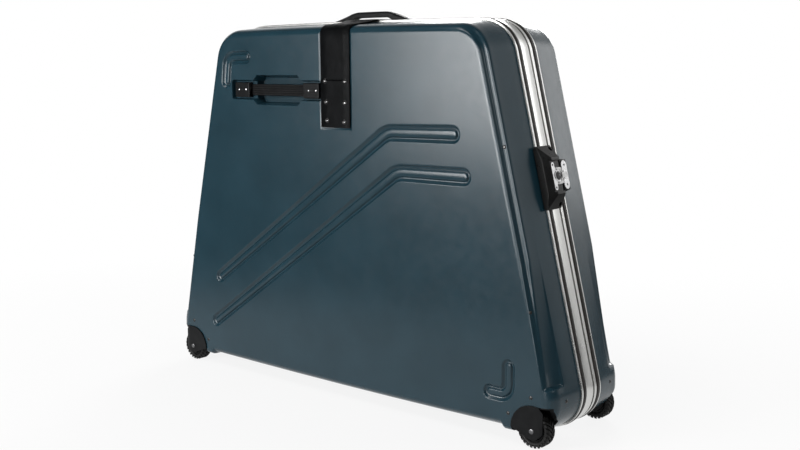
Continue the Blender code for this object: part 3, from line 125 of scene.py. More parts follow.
def right_half_outline(steps=20):
    """Points of the outline from the middle of the bottom round the right end to the middle of the top."""
    down = -math.pi / 2
    made = [edge_at(x, CASE_BOTTOM, down, low=1) for x in (0.0, 0.15, 0.30, LOW_END)]
    for i in range(1, 5):
        share = i / 4
        made.append(edge_at(LOW_END + LOW_RAMP * share, CASE_BOTTOM, down, low=1 - smooth(share)))
    for i in range(steps + 1):
        angle = down + (END_LEAN - down) * i / steps
        x = LOW_CENTRE[0] + BOTTOM_CORNER * math.cos(angle)
        made.append(edge_at(x, LOW_CENTRE[1] + BOTTOM_CORNER * math.sin(angle), angle))
    for i in range(9):
        share = smooth(i / 8)
        z = LEDGE_LOW + (LEDGE_TOP - LEDGE_LOW) * i / 8
        made.append(edge_at(end_x(z), z, END_LEAN, end=share, hollow=HOLLOW_DEPTH * share))
    for i in range(1, 9):
        z = LEDGE_TOP + (HOLLOW_TOP - LEDGE_TOP) * i / 8
        hollow = HOLLOW_DEPTH * (HOLLOW_TOP - z) / (HOLLOW_TOP - LEDGE_TOP)
        made.append(edge_at(end_x(z), z, END_LEAN, end=1, hollow=hollow))
    for z in (0.48, 0.58, 0.68):
        made.append(edge_at(end_x(z), z, END_LEAN, end=1))
    for i in range(steps + 1):
        angle = END_LEAN + (math.pi / 2 - END_LEAN) * i / steps
        x = TOP_CENTRE[0] + TOP_CORNER * math.cos(angle)
        share = smooth(i / steps)
        made.append(edge_at(x, TOP_CENTRE[1] + TOP_CORNER * math.sin(angle), angle, end=1 - share, top=share))
    for x in (0.32, 0.24, 0.16, 0.10, *CHANNEL_EDGES, 0.02, 0.0):
        made.append(edge_at(x, CASE_TOP, math.pi / 2, top=1))
    return made


right_side = right_half_outline()
OUTLINE = right_side + [edge._replace(x=-edge.x, nx=-edge.nx) for edge in reversed(right_side[1:-1])]


def pressed_section(edge, half, skin):
    """The sheet's section as (inset, distance from the middle), from its edge to its face."""
    start = HALF_DEPTH - edge.deep

    def wall(depth):
        share = (depth - half.leave) / (start - half.leave)
        return LIP_PROUD + (edge.draft - LIP_PROUD) * share + skin

    made = [(LIP_PROUD + skin, -half.edge if skin else half.edge), (LIP_PROUD + skin, half.leave)]
    made.append((wall(half.leave + WALL_ROW), half.leave + WALL_ROW))
    for i in range(7):
        depth = HOLLOW_SIDE + HOLLOW_STEP * i / 6
        made.append((wall(depth) + edge.hollow * HOLLOW_SHARE * smooth(i / 6), depth))
    first = edge.draft + edge.hollow + skin
    across = max(edge.across - edge.hollow - INNER_PINCH * skin, LEAST_SHOULDER)
    out = edge.deep - skin
    for i in range(25):
        turn = math.pi / 2 * i / 24
        # The valley runs along the middle half of the shoulder's turn
        share = max(0.0, -math.cos(4 * turn))
        dip = edge.valley * (share + smooth(share)) / 2
        inset = first + across * (1 - math.cos(turn)) + dip * math.cos(turn)
        made.append((inset, start + (out - dip) * math.sin(turn)))
    return made


def rounded_path(first, bend, last, radius, steps=10, pace=0.03):
    """The path of three points, its bend turned into an arc and its legs cut into short lengths."""
    first, bend, last = Vector(first), Vector(bend), Vector(last)
    back, on = (first - bend).normalized(), (last - bend).normalized()
    turn = math.pi - back.angle(on)
    middle = bend + (back + on).normalized() * radius / math.cos(turn / 2)
    start = bend + back * radius * math.tan(turn / 2) - middle
    way = math.copysign(1.0, back.cross(on))
    bent = []
    for i in range(steps + 1):
        cos, sin = math.cos(turn * i / steps), way * math.sin(turn * i / steps)
        bent.append(middle + Vector((start.x * cos + start.y * sin, start.y * cos - start.x * sin)))
    made = []
    for a, b in ((first, bent[0]), (bent[-1], last)):
        cuts = max(1, round((b - a).length / pace))
        made.append([a.lerp(b, i / cuts) for i in range(cuts + 1)])
    return made[0] + bent[1:-1] + made[1]


# Grooves: their centre lines, and their widths at the two ends
GROOVES = [
    (rounded_path((-0.414, 0.238), (0.1485, 0.622), (0.329, 0.625), 0.060), 0.029, 0.037),
    (rounded_path((-0.436, 0.120), (0.176, 0.538), (0.3565, 0.539), 0.060), 0.029, 0.037),
    (rounded_path((-0.295, 0.786), (-0.3605, 0.785), (-0.368, 0.727), 0.0218), 0.031, 0.031),
    (rounded_path((0.4705, 0.160), (0.4705, 0.100), (0.424, 0.100), 0.0218), 0.031, 0.031),
]
# Their depth, and the height of the low bar along the floor and its share of the width
GROOVE_DEPTH, BAR_RISE, BAR_SHARE = 0.006, 0.0042, 0.75
# How far outside its edge a wall begins, and the length in which it falls or the bar rises
GROOVE_LIP, GROOVE_RUN, BAR_LIP, BAR_RUN = 0.0012, 0.0082, -0.0026, 0.0050
# The share of that length which is the wall's rounded lip
LIP_SHARE = 0.17

# The side grip's recess, and the taller and deeper hand pocket in it, whose corners are cut off
GRIP_Z, RECESS_SPAN, RECESS_HALF = 0.7085, (-0.347, -0.045), 0.0225
RECESS_BACK, RECESS_CORNER, RECESS_LIP, RECESS_RUN = 0.012, 0.006, 0.0012, 0.0034
POCKET_SPAN, POCKET_HALF = (-0.270, -0.1105), 0.03375
POCKET_BACK, POCKET_CUT, POCKET_LIP, POCKET_RUN = 0.030, 0.011, 0.0016, 0.0066


def distances_along(path):
    """How far each point of a path lies from its start, along it."""
    runs = [0.0]
    for a, b in zip(path, path[1:]):
        runs.append(runs[-1] + (b - a).length)
    return runs


def groove_distances(path, wide_a, wide_b):
    """A function that gives a point's distance from the groove's centre line, and half the width there."""
    runs = distances_along(path)

    def measure(point):
        best = None
        for k, (a, b) in enumerate(zip(path, path[1:])):
            way = b - a
            share = min(1.0, max(0.0, (point - a).dot(way) / way.length_squared))
            far = (point - a - way * share).length
            if best is None or far < best[0]:
                run = runs[k] + share * (runs[k + 1] - runs[k])
                best = (far, (wide_a + (wide_b - wide_a) * run / runs[-1]) / 2)
        return best

    return measure


MEASURES = [groove_distances(*groove) for groove in GROOVES]


def recess_distance(x, z, span, half, cut, rounded):
    """How far a point lies outside a hollow with cut or rounded corners; less than nothing inside."""
    middle = (span[0] + span[1]) / 2
    across = abs(x - middle) - (span[1] - span[0]) / 2
    up = abs(z - GRIP_Z) - half
    if rounded:
        a, b = max(across + cut, 0.0), max(up + cut, 0.0)
        return min(max(across + cut, up + cut), 0.0) + math.hypot(a, b) - cut
    return max(across, up, (across + up + cut) / math.sqrt(2))


def channel_fall(x):
    """The depth of the strap's channel at a distance from its middle."""
    spread = CHANNEL_EDGES[1] - CHANNEL_EDGES[-1]
    return CHANNEL_DEPTH * smooth((CHANNEL_EDGES[1] - abs(x)) / spread)


def groove_wall(share):
    """The fall of a groove's wall: a small rounded lip, the steepest place below it, and a soft foot."""
    share = min(1.0, max(0.0, share))
    if share < LIP_SHARE:
        return share * share / LIP_SHARE
    return 1 - (1 - share) ** 2 / (1 - LIP_SHARE)


def pressed_depth(x, z, half, skin):
    """How far the face is pressed in at a point."""
    point = Vector((x, z))
    deepest = 0.0
    for measure in MEASURES:
        far, wide = measure(point)
        outside = far - wide - skin
        if outside < GROOVE_LIP:
            depth = GROOVE_DEPTH * groove_wall((GROOVE_LIP - outside) / GROOVE_RUN)
            if not skin:
                depth -= BAR_RISE * smooth((wide * BAR_SHARE + BAR_LIP - far) / BAR_RUN)
            deepest = max(deepest, depth)
    if half is FRONT:
        spread = CHANNEL_EDGES[0] - CHANNEL_EDGES[-1]
        deepest = max(deepest, channel_fall(x) * smooth((z - CHANNEL_LOW + spread) / spread))
        outside = recess_distance(x, z, RECESS_SPAN, RECESS_HALF, RECESS_CORNER, True) - skin
        deepest = max(deepest, RECESS_BACK * smooth((RECESS_LIP - outside) / RECESS_RUN))
        outside = recess_distance(x, z, POCKET_SPAN, POCKET_HALF, POCKET_CUT, False) - skin
        deepest = max(deepest, POCKET_BACK * smooth((POCKET_LIP - outside) / POCKET_RUN))
    return deepest


# How clear of grooves and hollows, and of the channel's sides and foot, the face's own points stay
FIELD_CLEAR, SIDE_CLEAR, FOOT_CLEAR = 0.006, 0.004, 0.011


def on_plain_face(point, half):
    """Whether a point lies well clear of every groove and hollow."""
    if any(far < wide + FIELD_CLEAR for far, wide in (measure(point) for measure in MEASURES)):
        return False
    if half is REAR:
        return True
    for span, high in ((RECESS_SPAN, RECESS_HALF), (POCKET_SPAN, POCKET_HALF)):
        if recess_distance(*point, span, high, RECESS_CORNER, True) < FIELD_CLEAR:
            return False
    return abs(point.x) > CHANNEL_EDGES[0] + SIDE_CLEAR or point.y < CHANNEL_LOW - FOOT_CLEAR


def stroke(path, halves, steps=10):
    """The outline of a stroke with round ends, half as wide at each point as halves says."""
    ways = [(b - a).normalized() for a, b in zip(path, path[1:])]
    sides = [Vector((-w.y, w.x)) for w in ways]
    normals = [sides[0]]
    for before, after in zip(sides, sides[1:]):
        middle = (before + after).normalized()
        normals.append(middle / middle.dot(before))
    normals.append(sides[-1])

    def end(centre, half, way, side):
        turns = [math.pi * (0.5 - i / steps) for i in range(1, steps)]
        return [centre + half * (way * math.cos(t) + side * math.sin(t)) for t in turns]

    made = [p + n * h for p, n, h in zip(path, normals, halves)]
    made += end(path[-1], halves[-1], ways[-1], sides[-1])
    made += [p - n * h for p, n, h in zip(path, normals, halves)][::-1]
    return made + end(path[0], halves[0], -ways[0], -sides[0])


def contour_lines(half, skin):
    """Closed lines of equal depth, which the face's triangles follow."""
    lines = []
    for path, wide_a, wide_b in GROOVES:
        runs = distances_along(path)
        halves = [(wide_a + (wide_b - wide_a) * run / runs[-1]) / 2 for run in runs]
        for i in range(-2, 8):
            off = GROOVE_LIP - GROOVE_RUN * i / 7 + skin
            lines.append(stroke(path, [h + off for h in halves]))
        if not skin:
            for i in range(7):
                off = BAR_LIP - BAR_RUN * i / 6
                lines.append(stroke(path, [h * BAR_SHARE + off for h in halves]))
    if half is REAR:
        return lines
    for i in range(-2, 9):
        off = RECESS_LIP - RECESS_RUN * i / 8 + skin
        radius = RECESS_CORNER + off
        a, b, high = RECESS_SPAN[0] - off, RECESS_SPAN[1] + off, RECESS_HALF + off
        line = []
        for x, z, first in ((b - radius, high - radius, 0), (a + radius, high - radius, 90),
                            (a + radius, radius - high, 180), (b - radius, radius - high, 270)):
            for k in range(7):
                turn = math.radians(first + 15 * k)
                line.append(Vector((x + radius * math.cos(turn), GRIP_Z + z + radius * math.sin(turn))))
        lines.append(line)
    for i in range(-1, 9):
        off = POCKET_LIP - POCKET_RUN * i / 8 + skin
        a, b, high = POCKET_SPAN[0] - off, POCKET_SPAN[1] + off, POCKET_HALF + off
        cut = POCKET_CUT + off * (2 - math.sqrt(2))
        corners = [(a, cut - high), (a + cut, -high), (b - cut, -high), (b, cut - high),
                   (b, high - cut), (b - cut, high), (a + cut, high), (a, high - cut)]
        lines.append([Vector((x, GRIP_Z + z)) for x, z in corners])
    return lines


# The height where the channel's side lines begin to run straight down, and the pitch of the face's points
CHANNEL_TURN, FIELD_PITCH = 0.72, 0.025


def pressed_form(half, skin, name):
    """One closed form of the shell: its outer side, or the hollow inside it where skin is the wall."""
    sections = [pressed_section(edge, half, skin) for edge in OUTLINE]
    count = len(OUTLINE)
    points, faces = [], []
    for k in range(len(sections[0])):
        for edge, section in zip(OUTLINE, sections):
            inset, depth = section[k]
            share = max(0.0, (depth - half.leave) / (HALF_DEPTH - half.leave))
            bow = BOTTOM_CROWN * (edge.x / HALF_LENGTH) ** 2 * max(0.0, -edge.nz) * share
            if half is FRONT and edge.nz > 0.99:
                depth = min(depth, HALF_DEPTH - skin - channel_fall(edge.x))
            points.append((edge.x - inset * edge.nx, half.sign * depth, edge.z - inset * edge.nz + bow))
    for k in range(len(sections[0]) - 1):
        for i in range(count):
            j = (i + 1) % count
            a, b = k * count, (k + 1) * count
            faces.append((a + i, a + j, b + j, b + i))
    faces.append(tuple(range(count)))
    # The face is one sheet of triangles between the rim, the lines of what is pressed in, and a plain grid
    rim = len(points) - count
    flat = [Vector((p[0], p[2])) for p in points[rim:]]
    lines = []
    for line in contour_lines(half, skin):
        first = len(flat)
        flat += line
        lines += [(first + i, first + (i + 1) % len(line)) for i in range(len(line))]
    if half is FRONT:
        for x in CHANNEL_EDGES:
            low = CHANNEL_LOW - (x - CHANNEL_EDGES[-1])
            ends = [min(range(count), key=lambda i: abs(flat[i].x - way * x) - flat[i].y) for way in (-1, 1)]
            chain = [ends[0]]
            for corner in ((-x, CHANNEL_TURN), (-x, low), (x, low), (x, CHANNEL_TURN)):
                chain.append(len(flat))
                flat.append(Vector(corner))
            chain.append(ends[1])
            lines += list(zip(chain, chain[1:]))
    for i in range(-22, 23):
        for k in range(2, 34):
            point = Vector((FIELD_PITCH * i, FIELD_PITCH * k))
            if on_plain_face(point, half):
                flat.append(point)
    found, _, sheet, origins, *_ = delaunay_2d_cdt(flat, lines, [tuple(range(count))], 1, 1e-6)
    place = []
    for point, sources in zip(found, origins):
        on_rim = [i for i in sources if i < count]
        if on_rim:
            place.append(rim + on_rim[0])
            continue
        depth = HALF_DEPTH - skin - pressed_depth(point.x, point.y, half, skin)
        place.append(len(points))
        points.append((point.x, half.sign * depth, point.y))
    faces += [tuple(place[i] for i in face) for face in sheet]
    return solid(name, points, faces)


def solid(name, points, faces, material=None):
    """A new object from points and faces, its faces turned outward."""
    mesh = bpy.data.meshes.new(name)
    mesh.from_pydata([tuple(p) for p in points], [], faces)
    shape = bmesh.new()
    shape.from_mesh(mesh)
    bmesh.ops.recalc_face_normals(shape, faces=shape.faces)
    shape.to_mesh(mesh)
    shape.free()
    made = bpy.data.objects.new(name, mesh)
    bpy.context.scene.collection.objects.link(made)
    if material:
        mesh.materials.append(material)
    return made


def loft(rings):
    """Points and faces of a solid through rings of equally many points, closed at both ends."""
    count = len(rings[0])
    points = [p for ring in rings for p in ring]
    faces = []
    for k in range(len(rings) - 1):
        a, b = k * count, (k + 1) * count
        faces += [(a + i, a + (i + 1) % count, b + (i + 1) % count, b + i) for i in range(count)]
    faces += [tuple(range(count)), tuple(range(len(points) - count, len(points)))]
    return points, faces


def plate(name, outline, near, far):
    """A plate with its outline in X and Z, between two values of Y."""
    return solid(name, *loft([[(x, y, z) for x, z in outline] for y in (near, far)]))


def carve(target, tools, operation="DIFFERENCE"):
    """Cuts the tools from the target, or joins them to it, and removes them."""
    for tool in tools:
        step = target.modifiers.new(operation.title(), "BOOLEAN")
        step.operation, step.solver, step.object = operation, "MANIFOLD", tool
    graph = bpy.context.evaluated_depsgraph_get()
    mesh = bpy.data.meshes.new_from_object(target.evaluated_get(graph))
    target.modifiers.clear()
    target.data = mesh
    for tool in tools:
        bpy.data.objects.remove(tool)
    return target


def shade(piece, angle=35):
    """Smooth shading between faces that meet at less than the angle."""
    piece.data.shade_smooth()
    piece.data.set_sharp_from_angle(angle=math.radians(angle))
    return piece


# The wheels' place and size, the housings that the seats are cut for, and the notches at the corners
WHEEL_X, WHEEL_R, WHEEL_Y = 0.530, 0.0377, 0.1188
HOUSING_INNER, HOUSING_ROOF, HOUSING_OUTER = 0.1003, 0.0893, 0.0330
SEAT_RADIUS, SEAT_RISE, SEAT_FOOT = 0.051, 0.0012, math.radians(215)
NOTCH_Y, NOTCH_LOW, NOTCH_START, NOTCH_DROP, NOTCH_RISE = 0.1220, 0.058, 0.020, 0.005, 0.008
# How far the cutters reach past the shell, and how far two of them overlap so that no faces meet
CLEAR, OVERLAP = 0.01, 0.0001


def wheel_seat(half, side, skin, name):
    """The pocket that a wheel housing sits in, and the notch through which it opens at the corner."""
    grow = GAP * 1.5 + skin
    centre_z, radius, roof = WHEEL_R + SEAT_RISE, SEAT_RADIUS + grow, HOUSING_ROOF + grow
    last = math.asin((roof - centre_z) / radius)
    seat = []
    for i in range(33):
        turn = SEAT_FOOT + (last - SEAT_FOOT) * i / 32
        seat.append((side * (WHEEL_X + radius * math.cos(turn)), centre_z + radius * math.sin(turn)))
    far = side * (WHEEL_X + HOUSING_OUTER + grow)
    seat += [(far, roof), (far, -2 * CLEAR), (seat[0][0], -2 * CLEAR)]
    inner, outer = HOUSING_INNER - GAP * 2 - skin, HALF_DEPTH + CLEAR
    pocket = plate(name, seat, half.sign * inner, half.sign * outer)
    step = (NOTCH_Y - HOUSING_INNER) / 2 + HOUSING_INNER - skin
    plan = [(NOTCH_Y - skin, roof - OVERLAP), (NOTCH_Y - skin, roof - NOTCH_DROP)]
    plan += [(step, NOTCH_LOW + NOTCH_RISE + skin), (inner + OVERLAP, NOTCH_LOW + skin)]
    plan += [(inner + OVERLAP, -3 * CLEAR), (outer + CLEAR, -3 * CLEAR), (outer + CLEAR, roof - OVERLAP)]
    ends = (side * (WHEEL_X + NOTCH_START), side * (HALF_LENGTH + 2 * CLEAR))
    notch = solid(name + "_notch", *loft([[(x, half.sign * y, z) for y, z in plan] for x in ends]))
    return carve(pocket, [notch], "UNION")


def add(tree, kind, values=None, **settings):
    """A shader node with its settings and its inputs, which are numbers or other nodes' outputs."""
    made = tree.nodes.new("ShaderNode" + kind)
    for key, value in settings.items():
        setattr(made, key, value)
    for key, value in (values or {}).items():
        if isinstance(value, bpy.types.NodeSocket):
            tree.links.new(value, made.inputs[key])
        else:
            made.inputs[key].default_value = value
    return made


def finish(name, roughness, metallic=0.0, **sockets):
    """A material, its node tree, its shader and its coordinates, in metres along the case's own axes."""
    made = bpy.data.materials.new(name)
    made.use_nodes = True
    tree = made.node_tree
    shader = tree.nodes["Principled BSDF"]
    shader.inputs["Metallic"].default_value = metallic
    shader.inputs["Roughness"].default_value = roughness
    for key, value in sockets.items():
        shader.inputs[key.replace("_", " ")].default_value = value
    return made, tree, shader, add(tree, "TexCoord").outputs["Object"]


def noise(tree, where, scale, detail=2.0, stretch=None):
    """Soft random values between 0 and 1, with that many patches to the metre."""
    if stretch:
        where = add(tree, "Mapping", {"Vector": where, "Scale": stretch}).outputs["Vector"]
    return add(tree, "TexNoise", {"Vector": where, "Scale": scale, "Detail": detail}).outputs["Fac"]


def gloss(tree, shader, value, low, high):
    """The roughness goes from low to high with the value."""
    limits = {"Value": value, "From Min": 0.3, "From Max": 0.7, "To Min": low, "To Max": high}
    tree.links.new(add(tree, "MapRange", limits).outputs["Result"], shader.inputs["Roughness"])


def tint(tree, shader, value, dark, light, start=0.3, end=0.7):
    """The colour goes from dark to light with the value."""
    ramp = add(tree, "ValToRGB", {"Fac": value})
    for stop, place, colour in zip(ramp.color_ramp.elements, (start, end), (dark, light)):
        stop.position, stop.color = place, (*colour, 1.0)
    tree.links.new(ramp.outputs["Color"], shader.inputs["Base Color"])


def relief(tree, shader, *layers):
    """Surface relief from (height, depth in metres) pairs, each laid over the one before."""
    below = None
    for height, depth in layers:
        bump = add(tree, "Bump", {"Height": height, "Distance": depth, "Strength": 1.0})
        if below:
            tree.links.new(below, bump.inputs["Normal"])
        below = bump.outputs["Normal"]
    tree.links.new(below, shader.inputs["Normal"])


SHELL_SMOOTH, SHELL_ROUGH = 0.225, 0.268
SHELL_DARK, SHELL_LIGHT = (0.0070, 0.0270, 0.0390), (0.0105, 0.0345, 0.0490)
grained_plastic, tree, shader, where = finish("grained_plastic", 0.26, Specular_IOR_Level=0.34)
pores = add(tree, "TexVoronoi", {"Vector": where, "Scale": 560.0}, feature="SMOOTH_F1").outputs["Distance"]
tint(tree, shader, noise(tree, where, 9.0, 6.0), SHELL_DARK, SHELL_LIGHT)
gloss(tree, shader, noise(tree, where, 55.0, 5.0), SHELL_SMOOTH, SHELL_ROUGH)
relief(tree, shader, (noise(tree, where, 420.0, 2.0), 0.00008), (pores, 0.00004))

outer_forms = {}
for half in (FRONT, REAR):
    shell = pressed_form(half, 0.0, "pressed_shell_" + half.name)
    outer_forms[half] = shell.data.copy()
    hollow = pressed_form(half, SHELL_WALL, "hollow")
    carve(shell, [wheel_seat(half, side, 0.0, "seat") for side in (-1, 1)])
    carve(hollow, [wheel_seat(half, side, SHELL_WALL, "seat") for side in (-1, 1)])
    carve(shell, [hollow])
    shell.data.materials.clear()
    shell.data.materials.append(grained_plastic)
    shade(shell, 38)
    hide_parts(half.name + "_shell")
    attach(shell, half.name + "_half")

# Frames. Two extruded aluminium profiles, satin finished, bent to the case's outline and closed at the
# bottom. Each grips its shell's edge in a slot. The front band is the broad one that the latches
# and the handle are fixed to, and the rear one has the step that the front one closes over.

# The lips over the shells, the grooves of the trim strips, and the slots with the legs that close them
FRONT_LIP, REAR_LIP, TRIM_WIDTH, TRIM_SEAT = 0.0045, 0.0035, 0.013, 0.0025
SLOT_OUTER, SLOT_INNER, LEG_INNER, FRONT_LEG, REAR_LEG = 0.0037, 0.0063, 0.0085, 0.0300, 0.0280
# The front band's drop under the lip, its hollow face and the flat beside it; the gap and step at the parting
BAND_DROP, BAND_DISH, BAND_FLAT, PARTING_GAP, PARTING_STEP = 0.0003, 0.0009, 0.001, 0.0008, 0.0032
# The seal's groove in the rear frame, and how far it lies outside the leg
SEAL_WIDTH, SEAL_HEIGHT, SEAL_PROUD = 0.0022, 0.0030, 0.0009


def swept(name, section, material, edge=0.0):
    """A profile of (y, inset) points carried right round the case."""
    count = len(section)
    points = [(e.x - inset * e.nx, y, e.z - inset * e.nz) for e in OUTLINE for y, inset in section]
    faces = []
    for k in range(len(OUTLINE)):
        a, b = k * count, (k + 1) % len(OUTLINE) * count
        faces += [(a + i, a + (i + 1) % count, b + (i + 1) % count, b + i) for i in range(count)]
    made = solid(name, points, faces, material)
    if edge:
        soften(made, edge, 35)
    return shade(made)


def soften(piece, edge, angle=28, segments=2):
    """Rounds the edges sharper than the angle, as a press, a mould or a file leaves them."""
    bevel = piece.modifiers.new("Edges", "BEVEL")
    bevel.width, bevel.segments, bevel.limit_method = edge, segments, "ANGLE"
    bevel.angle_limit = math.radians(angle)
    piece.data.shade_smooth()
    normals = piece.modifiers.new("Normals", "WEIGHTED_NORMAL")
    normals.keep_sharp = True
    return piece


satin_aluminium, tree, shader, where = finish("satin_aluminium", 0.30, 1.0)
lines = noise(tree, where, 60.0, 3.0, (1.0, 60.0, 1.0))
tint(tree, shader, lines, (0.50, 0.50, 0.485), (0.62, 0.62, 0.605))
gloss(tree, shader, noise(tree, where, 18.0, 3.0), 0.26, 0.36)
relief(tree, shader, (lines, 0.00003), (noise(tree, where, 900.0, 2.0), 0.000015))

front_trim = -FRONT.leave + FRONT_LIP
front_band = front_trim + TRIM_WIDTH
front_face = PARTING_Y - PARTING_GAP
dish = []
for i in range(9):
    y = (front_band * (8 - i) + (front_face - BAND_FLAT) * i) / 8
    dish.append((y, BAND_DROP + BAND_DISH * math.sin(math.pi * i / 8)))
front_profile = [
    (-FRONT.leave, SLOT_OUTER), (-FRONT.leave, 0.0), (front_trim, 0.0), (front_trim, TRIM_SEAT),
    (front_band, TRIM_SEAT), *dish, (front_face, BAND_DROP + BAND_FLAT), (front_face, LEG_INNER),
    (-FRONT_LEG, LEG_INNER), (-FRONT_LEG, SLOT_INNER),
    (-FRONT.edge + GAP, SLOT_INNER), (-FRONT.edge + GAP, SLOT_OUTER),
]
rear_trim = REAR.leave - REAR_LIP
rear_band = rear_trim - TRIM_WIDTH
rear_face = PARTING_Y + PARTING_GAP
step, seal_back = rear_face + PARTING_STEP, rear_face + SEAL_WIDTH
seal_low, seal_high = SLOT_INNER - SEAL_HEIGHT + SEAL_PROUD, SLOT_INNER + SEAL_PROUD
rear_profile = [
    (rear_face, LIP_PROUD), (step, LIP_PROUD), (step, BAND_DROP), (rear_band, BAND_DROP),
    (rear_band, TRIM_SEAT), (rear_trim, TRIM_SEAT), (rear_trim, 0.0), (REAR.leave, 0.0),
    (REAR.leave, SLOT_OUTER), (REAR.edge - GAP, SLOT_OUTER), (REAR.edge - GAP, SLOT_INNER),
    (REAR_LEG, SLOT_INNER), (REAR_LEG, LEG_INNER), (rear_face, LEG_INNER),
    (rear_face, seal_high), (seal_back, seal_high), (seal_back, seal_low), (rear_face, seal_low),
]
for half, profile in ((FRONT, front_profile), (REAR, rear_profile)):
    piece = swept("frame_profile_" + half.name, profile, satin_aluminium, 0.00035)
    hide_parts(half.name + "_frame")
    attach(piece, half.name + "_half")

# Trim strips. Soft brown-black plastic, extruded with a crowned and finely ribbed face, and pressed into
# the groove of each frame, where they hide the screws that tie the frame to the shell.

strip_plastic, tree, shader, where = finish("strip_plastic", 0.4, Specular_IOR_Level=0.3)
tint(tree, shader, noise(tree, where, 25.0, 3.0), (0.010, 0.0078, 0.0068), (0.018, 0.0140, 0.0122))
gloss(tree, shader, noise(tree, where, 90.0, 3.0), 0.36, 0.52)
relief(tree, shader, (noise(tree, where, 700.0, 2.0), 0.00003))

# How far the strip's sides and its edge rise over its seat, how far in the edge lies, its crown and its ribs
STRIP_SIDE, STRIP_TOP, STRIP_ROUND, STRIP_CROWN, STRIP_RIB = 0.0008, 0.0011, 0.0009, 0.0021, 0.00022
for half, lip in ((FRONT, FRONT_LIP), (REAR, REAR_LIP)):
    outer = half.leave - lip - GAP
    inner = outer - TRIM_WIDTH + 2 * GAP
    seat = TRIM_SEAT - GAP
    profile = [(outer, seat), (outer, seat - STRIP_SIDE)]
    for i in range(13):
        share = i / 12
        rib = STRIP_RIB * max(0.0, math.cos(6 * math.pi * share))
        crown = STRIP_CROWN * math.sin(math.pi * share) ** 0.7
        depth = outer - STRIP_ROUND - (outer - inner - 2 * STRIP_ROUND) * share
        profile.append((depth, seat - STRIP_TOP - crown - rib))
    profile += [(inner, seat - STRIP_SIDE), (inner, seat)]
    piece = swept("trim_strip_" + half.name, [(half.sign * y, inset) for y, inset in profile], strip_plastic)
    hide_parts(half.name + "_trim_strip")
    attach(piece, half.name + "_half")

# Seal. A round-nosed rubber cord in the rear frame's groove, which the front frame's face closes on
# to keep rain and dust out.

seal_rubber, tree, shader, where = finish("seal_rubber", 0.7)
tint(tree, shader, noise(tree, where, 120.0, 3.0), (0.010, 0.010, 0.010), (0.020, 0.020, 0.021))
gloss(tree, shader, noise(tree, where, 200.0, 2.0), 0.6, 0.8)
relief(tree, shader, (noise(tree, where, 1200.0, 2.0), 0.00003))
NOSE_ROUND = 0.0008
back, nose = seal_back - GAP, front_face + GAP
middle, reach = (seal_low + seal_high) / 2, SEAL_HEIGHT / 2 - GAP
profile = [(back, middle - reach)]
for i in range(9):
    turn = math.pi * i / 8
    profile.append((nose + NOSE_ROUND * (1 - math.sin(turn)), middle - reach * math.cos(turn)))
profile.append((back, middle + reach))
piece = swept("seal_cord", profile, seal_rubber)
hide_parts("frame_seal")
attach(piece, "rear_half")

# Wheel housings. Injection-moulded black nylon hoods, one in the seat at each bottom corner. Two cheeks
# carry the axle, and the outer one stands 3 mm proud of the shell. A thin skirt lines the seat.

# Each end's way along X with its word, and the body that each of the case's parts moves with
ENDS = ((-1, "left"), (1, "right"))
body_of = {node: body for body, nodes in frame["record"]["behaviour"]["bodies"].items() for node in nodes}


def shaped_copy(node, name, material, edge, angle=28, segments=2):
    """A piece in a CAD node's place, with its flat facets joined and its edges rounded."""
    shape = bmesh.new()
    shape.from_mesh(frame["nodes"][node].data)
    bmesh.ops.remove_doubles(shape, verts=shape.verts, dist=2e-6)
    limit = math.radians(0.6)
    bmesh.ops.dissolve_limit(shape, angle_limit=limit, verts=shape.verts, edges=shape.edges)
    shape.verts.index_update()
    points = [v.co.copy() for v in shape.verts]
    faces = [tuple(v.index for v in f.verts) for f in shape.faces]
    shape.free()
    piece = solid(name, points, faces, material)
    soften(piece, edge, angle, segments)
    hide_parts(node)
    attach(piece, body_of[node])
    return piece


moulded_nylon, tree, shader, where = finish("moulded_nylon", 0.38, Specular_IOR_Level=0.09)
tint(tree, shader, noise(tree, where, 30.0, 4.0), (0.0035, 0.0038, 0.0042), (0.0080, 0.0085, 0.0090))
gloss(tree, shader, noise(tree, where, 150.0, 4.0), 0.30, 0.44)
sparks = add(tree, "TexVoronoi", {"Vector": where, "Scale": 900.0}).outputs["Distance"]
relief(tree, shader, (sparks, 0.00008), (noise(tree, where, 3000.0, 2.0), 0.00003))

# How far inside the seat's wall the skirt's two sides lie
SKIRT_OUTER, SKIRT_INNER = 0.0001, 0.00035
corners = [(half, side, f"{half.name}_{word}") for half in (FRONT, REAR) for side, word in ENDS]
for half, side, label in corners:
    shaped_copy("wheel_housing_" + label, "wheel_hood_" + label, moulded_nylon, 0.0006)
    skirt = bpy.data.objects.new("hood_skirt_" + label, outer_forms[half].copy())
    bpy.context.scene.collection.objects.link(skirt)
    carve(skirt, [wheel_seat(half, side, -SKIRT_OUTER, "seat")], "INTERSECT")
    carve(skirt, [wheel_seat(half, side, -SKIRT_INNER, "seat")])
    skirt.data.materials.clear()
    skirt.data.materials.append(moulded_nylon)
    shade(skirt)
    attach(skirt, half.name + "_half")

# Wheels. A knobbly black rubber tyre on a moulded hub, which turns on a dull steel pin riveted through
# the housing's cheeks. The tread has two rows of blocks, half a pitch apart, that run down over
# the shoulders.

TYRE_WIDTH, TYRE_FOOT, HUB_R, BLOCKS = 0.028, 0.004, 0.0240, 24
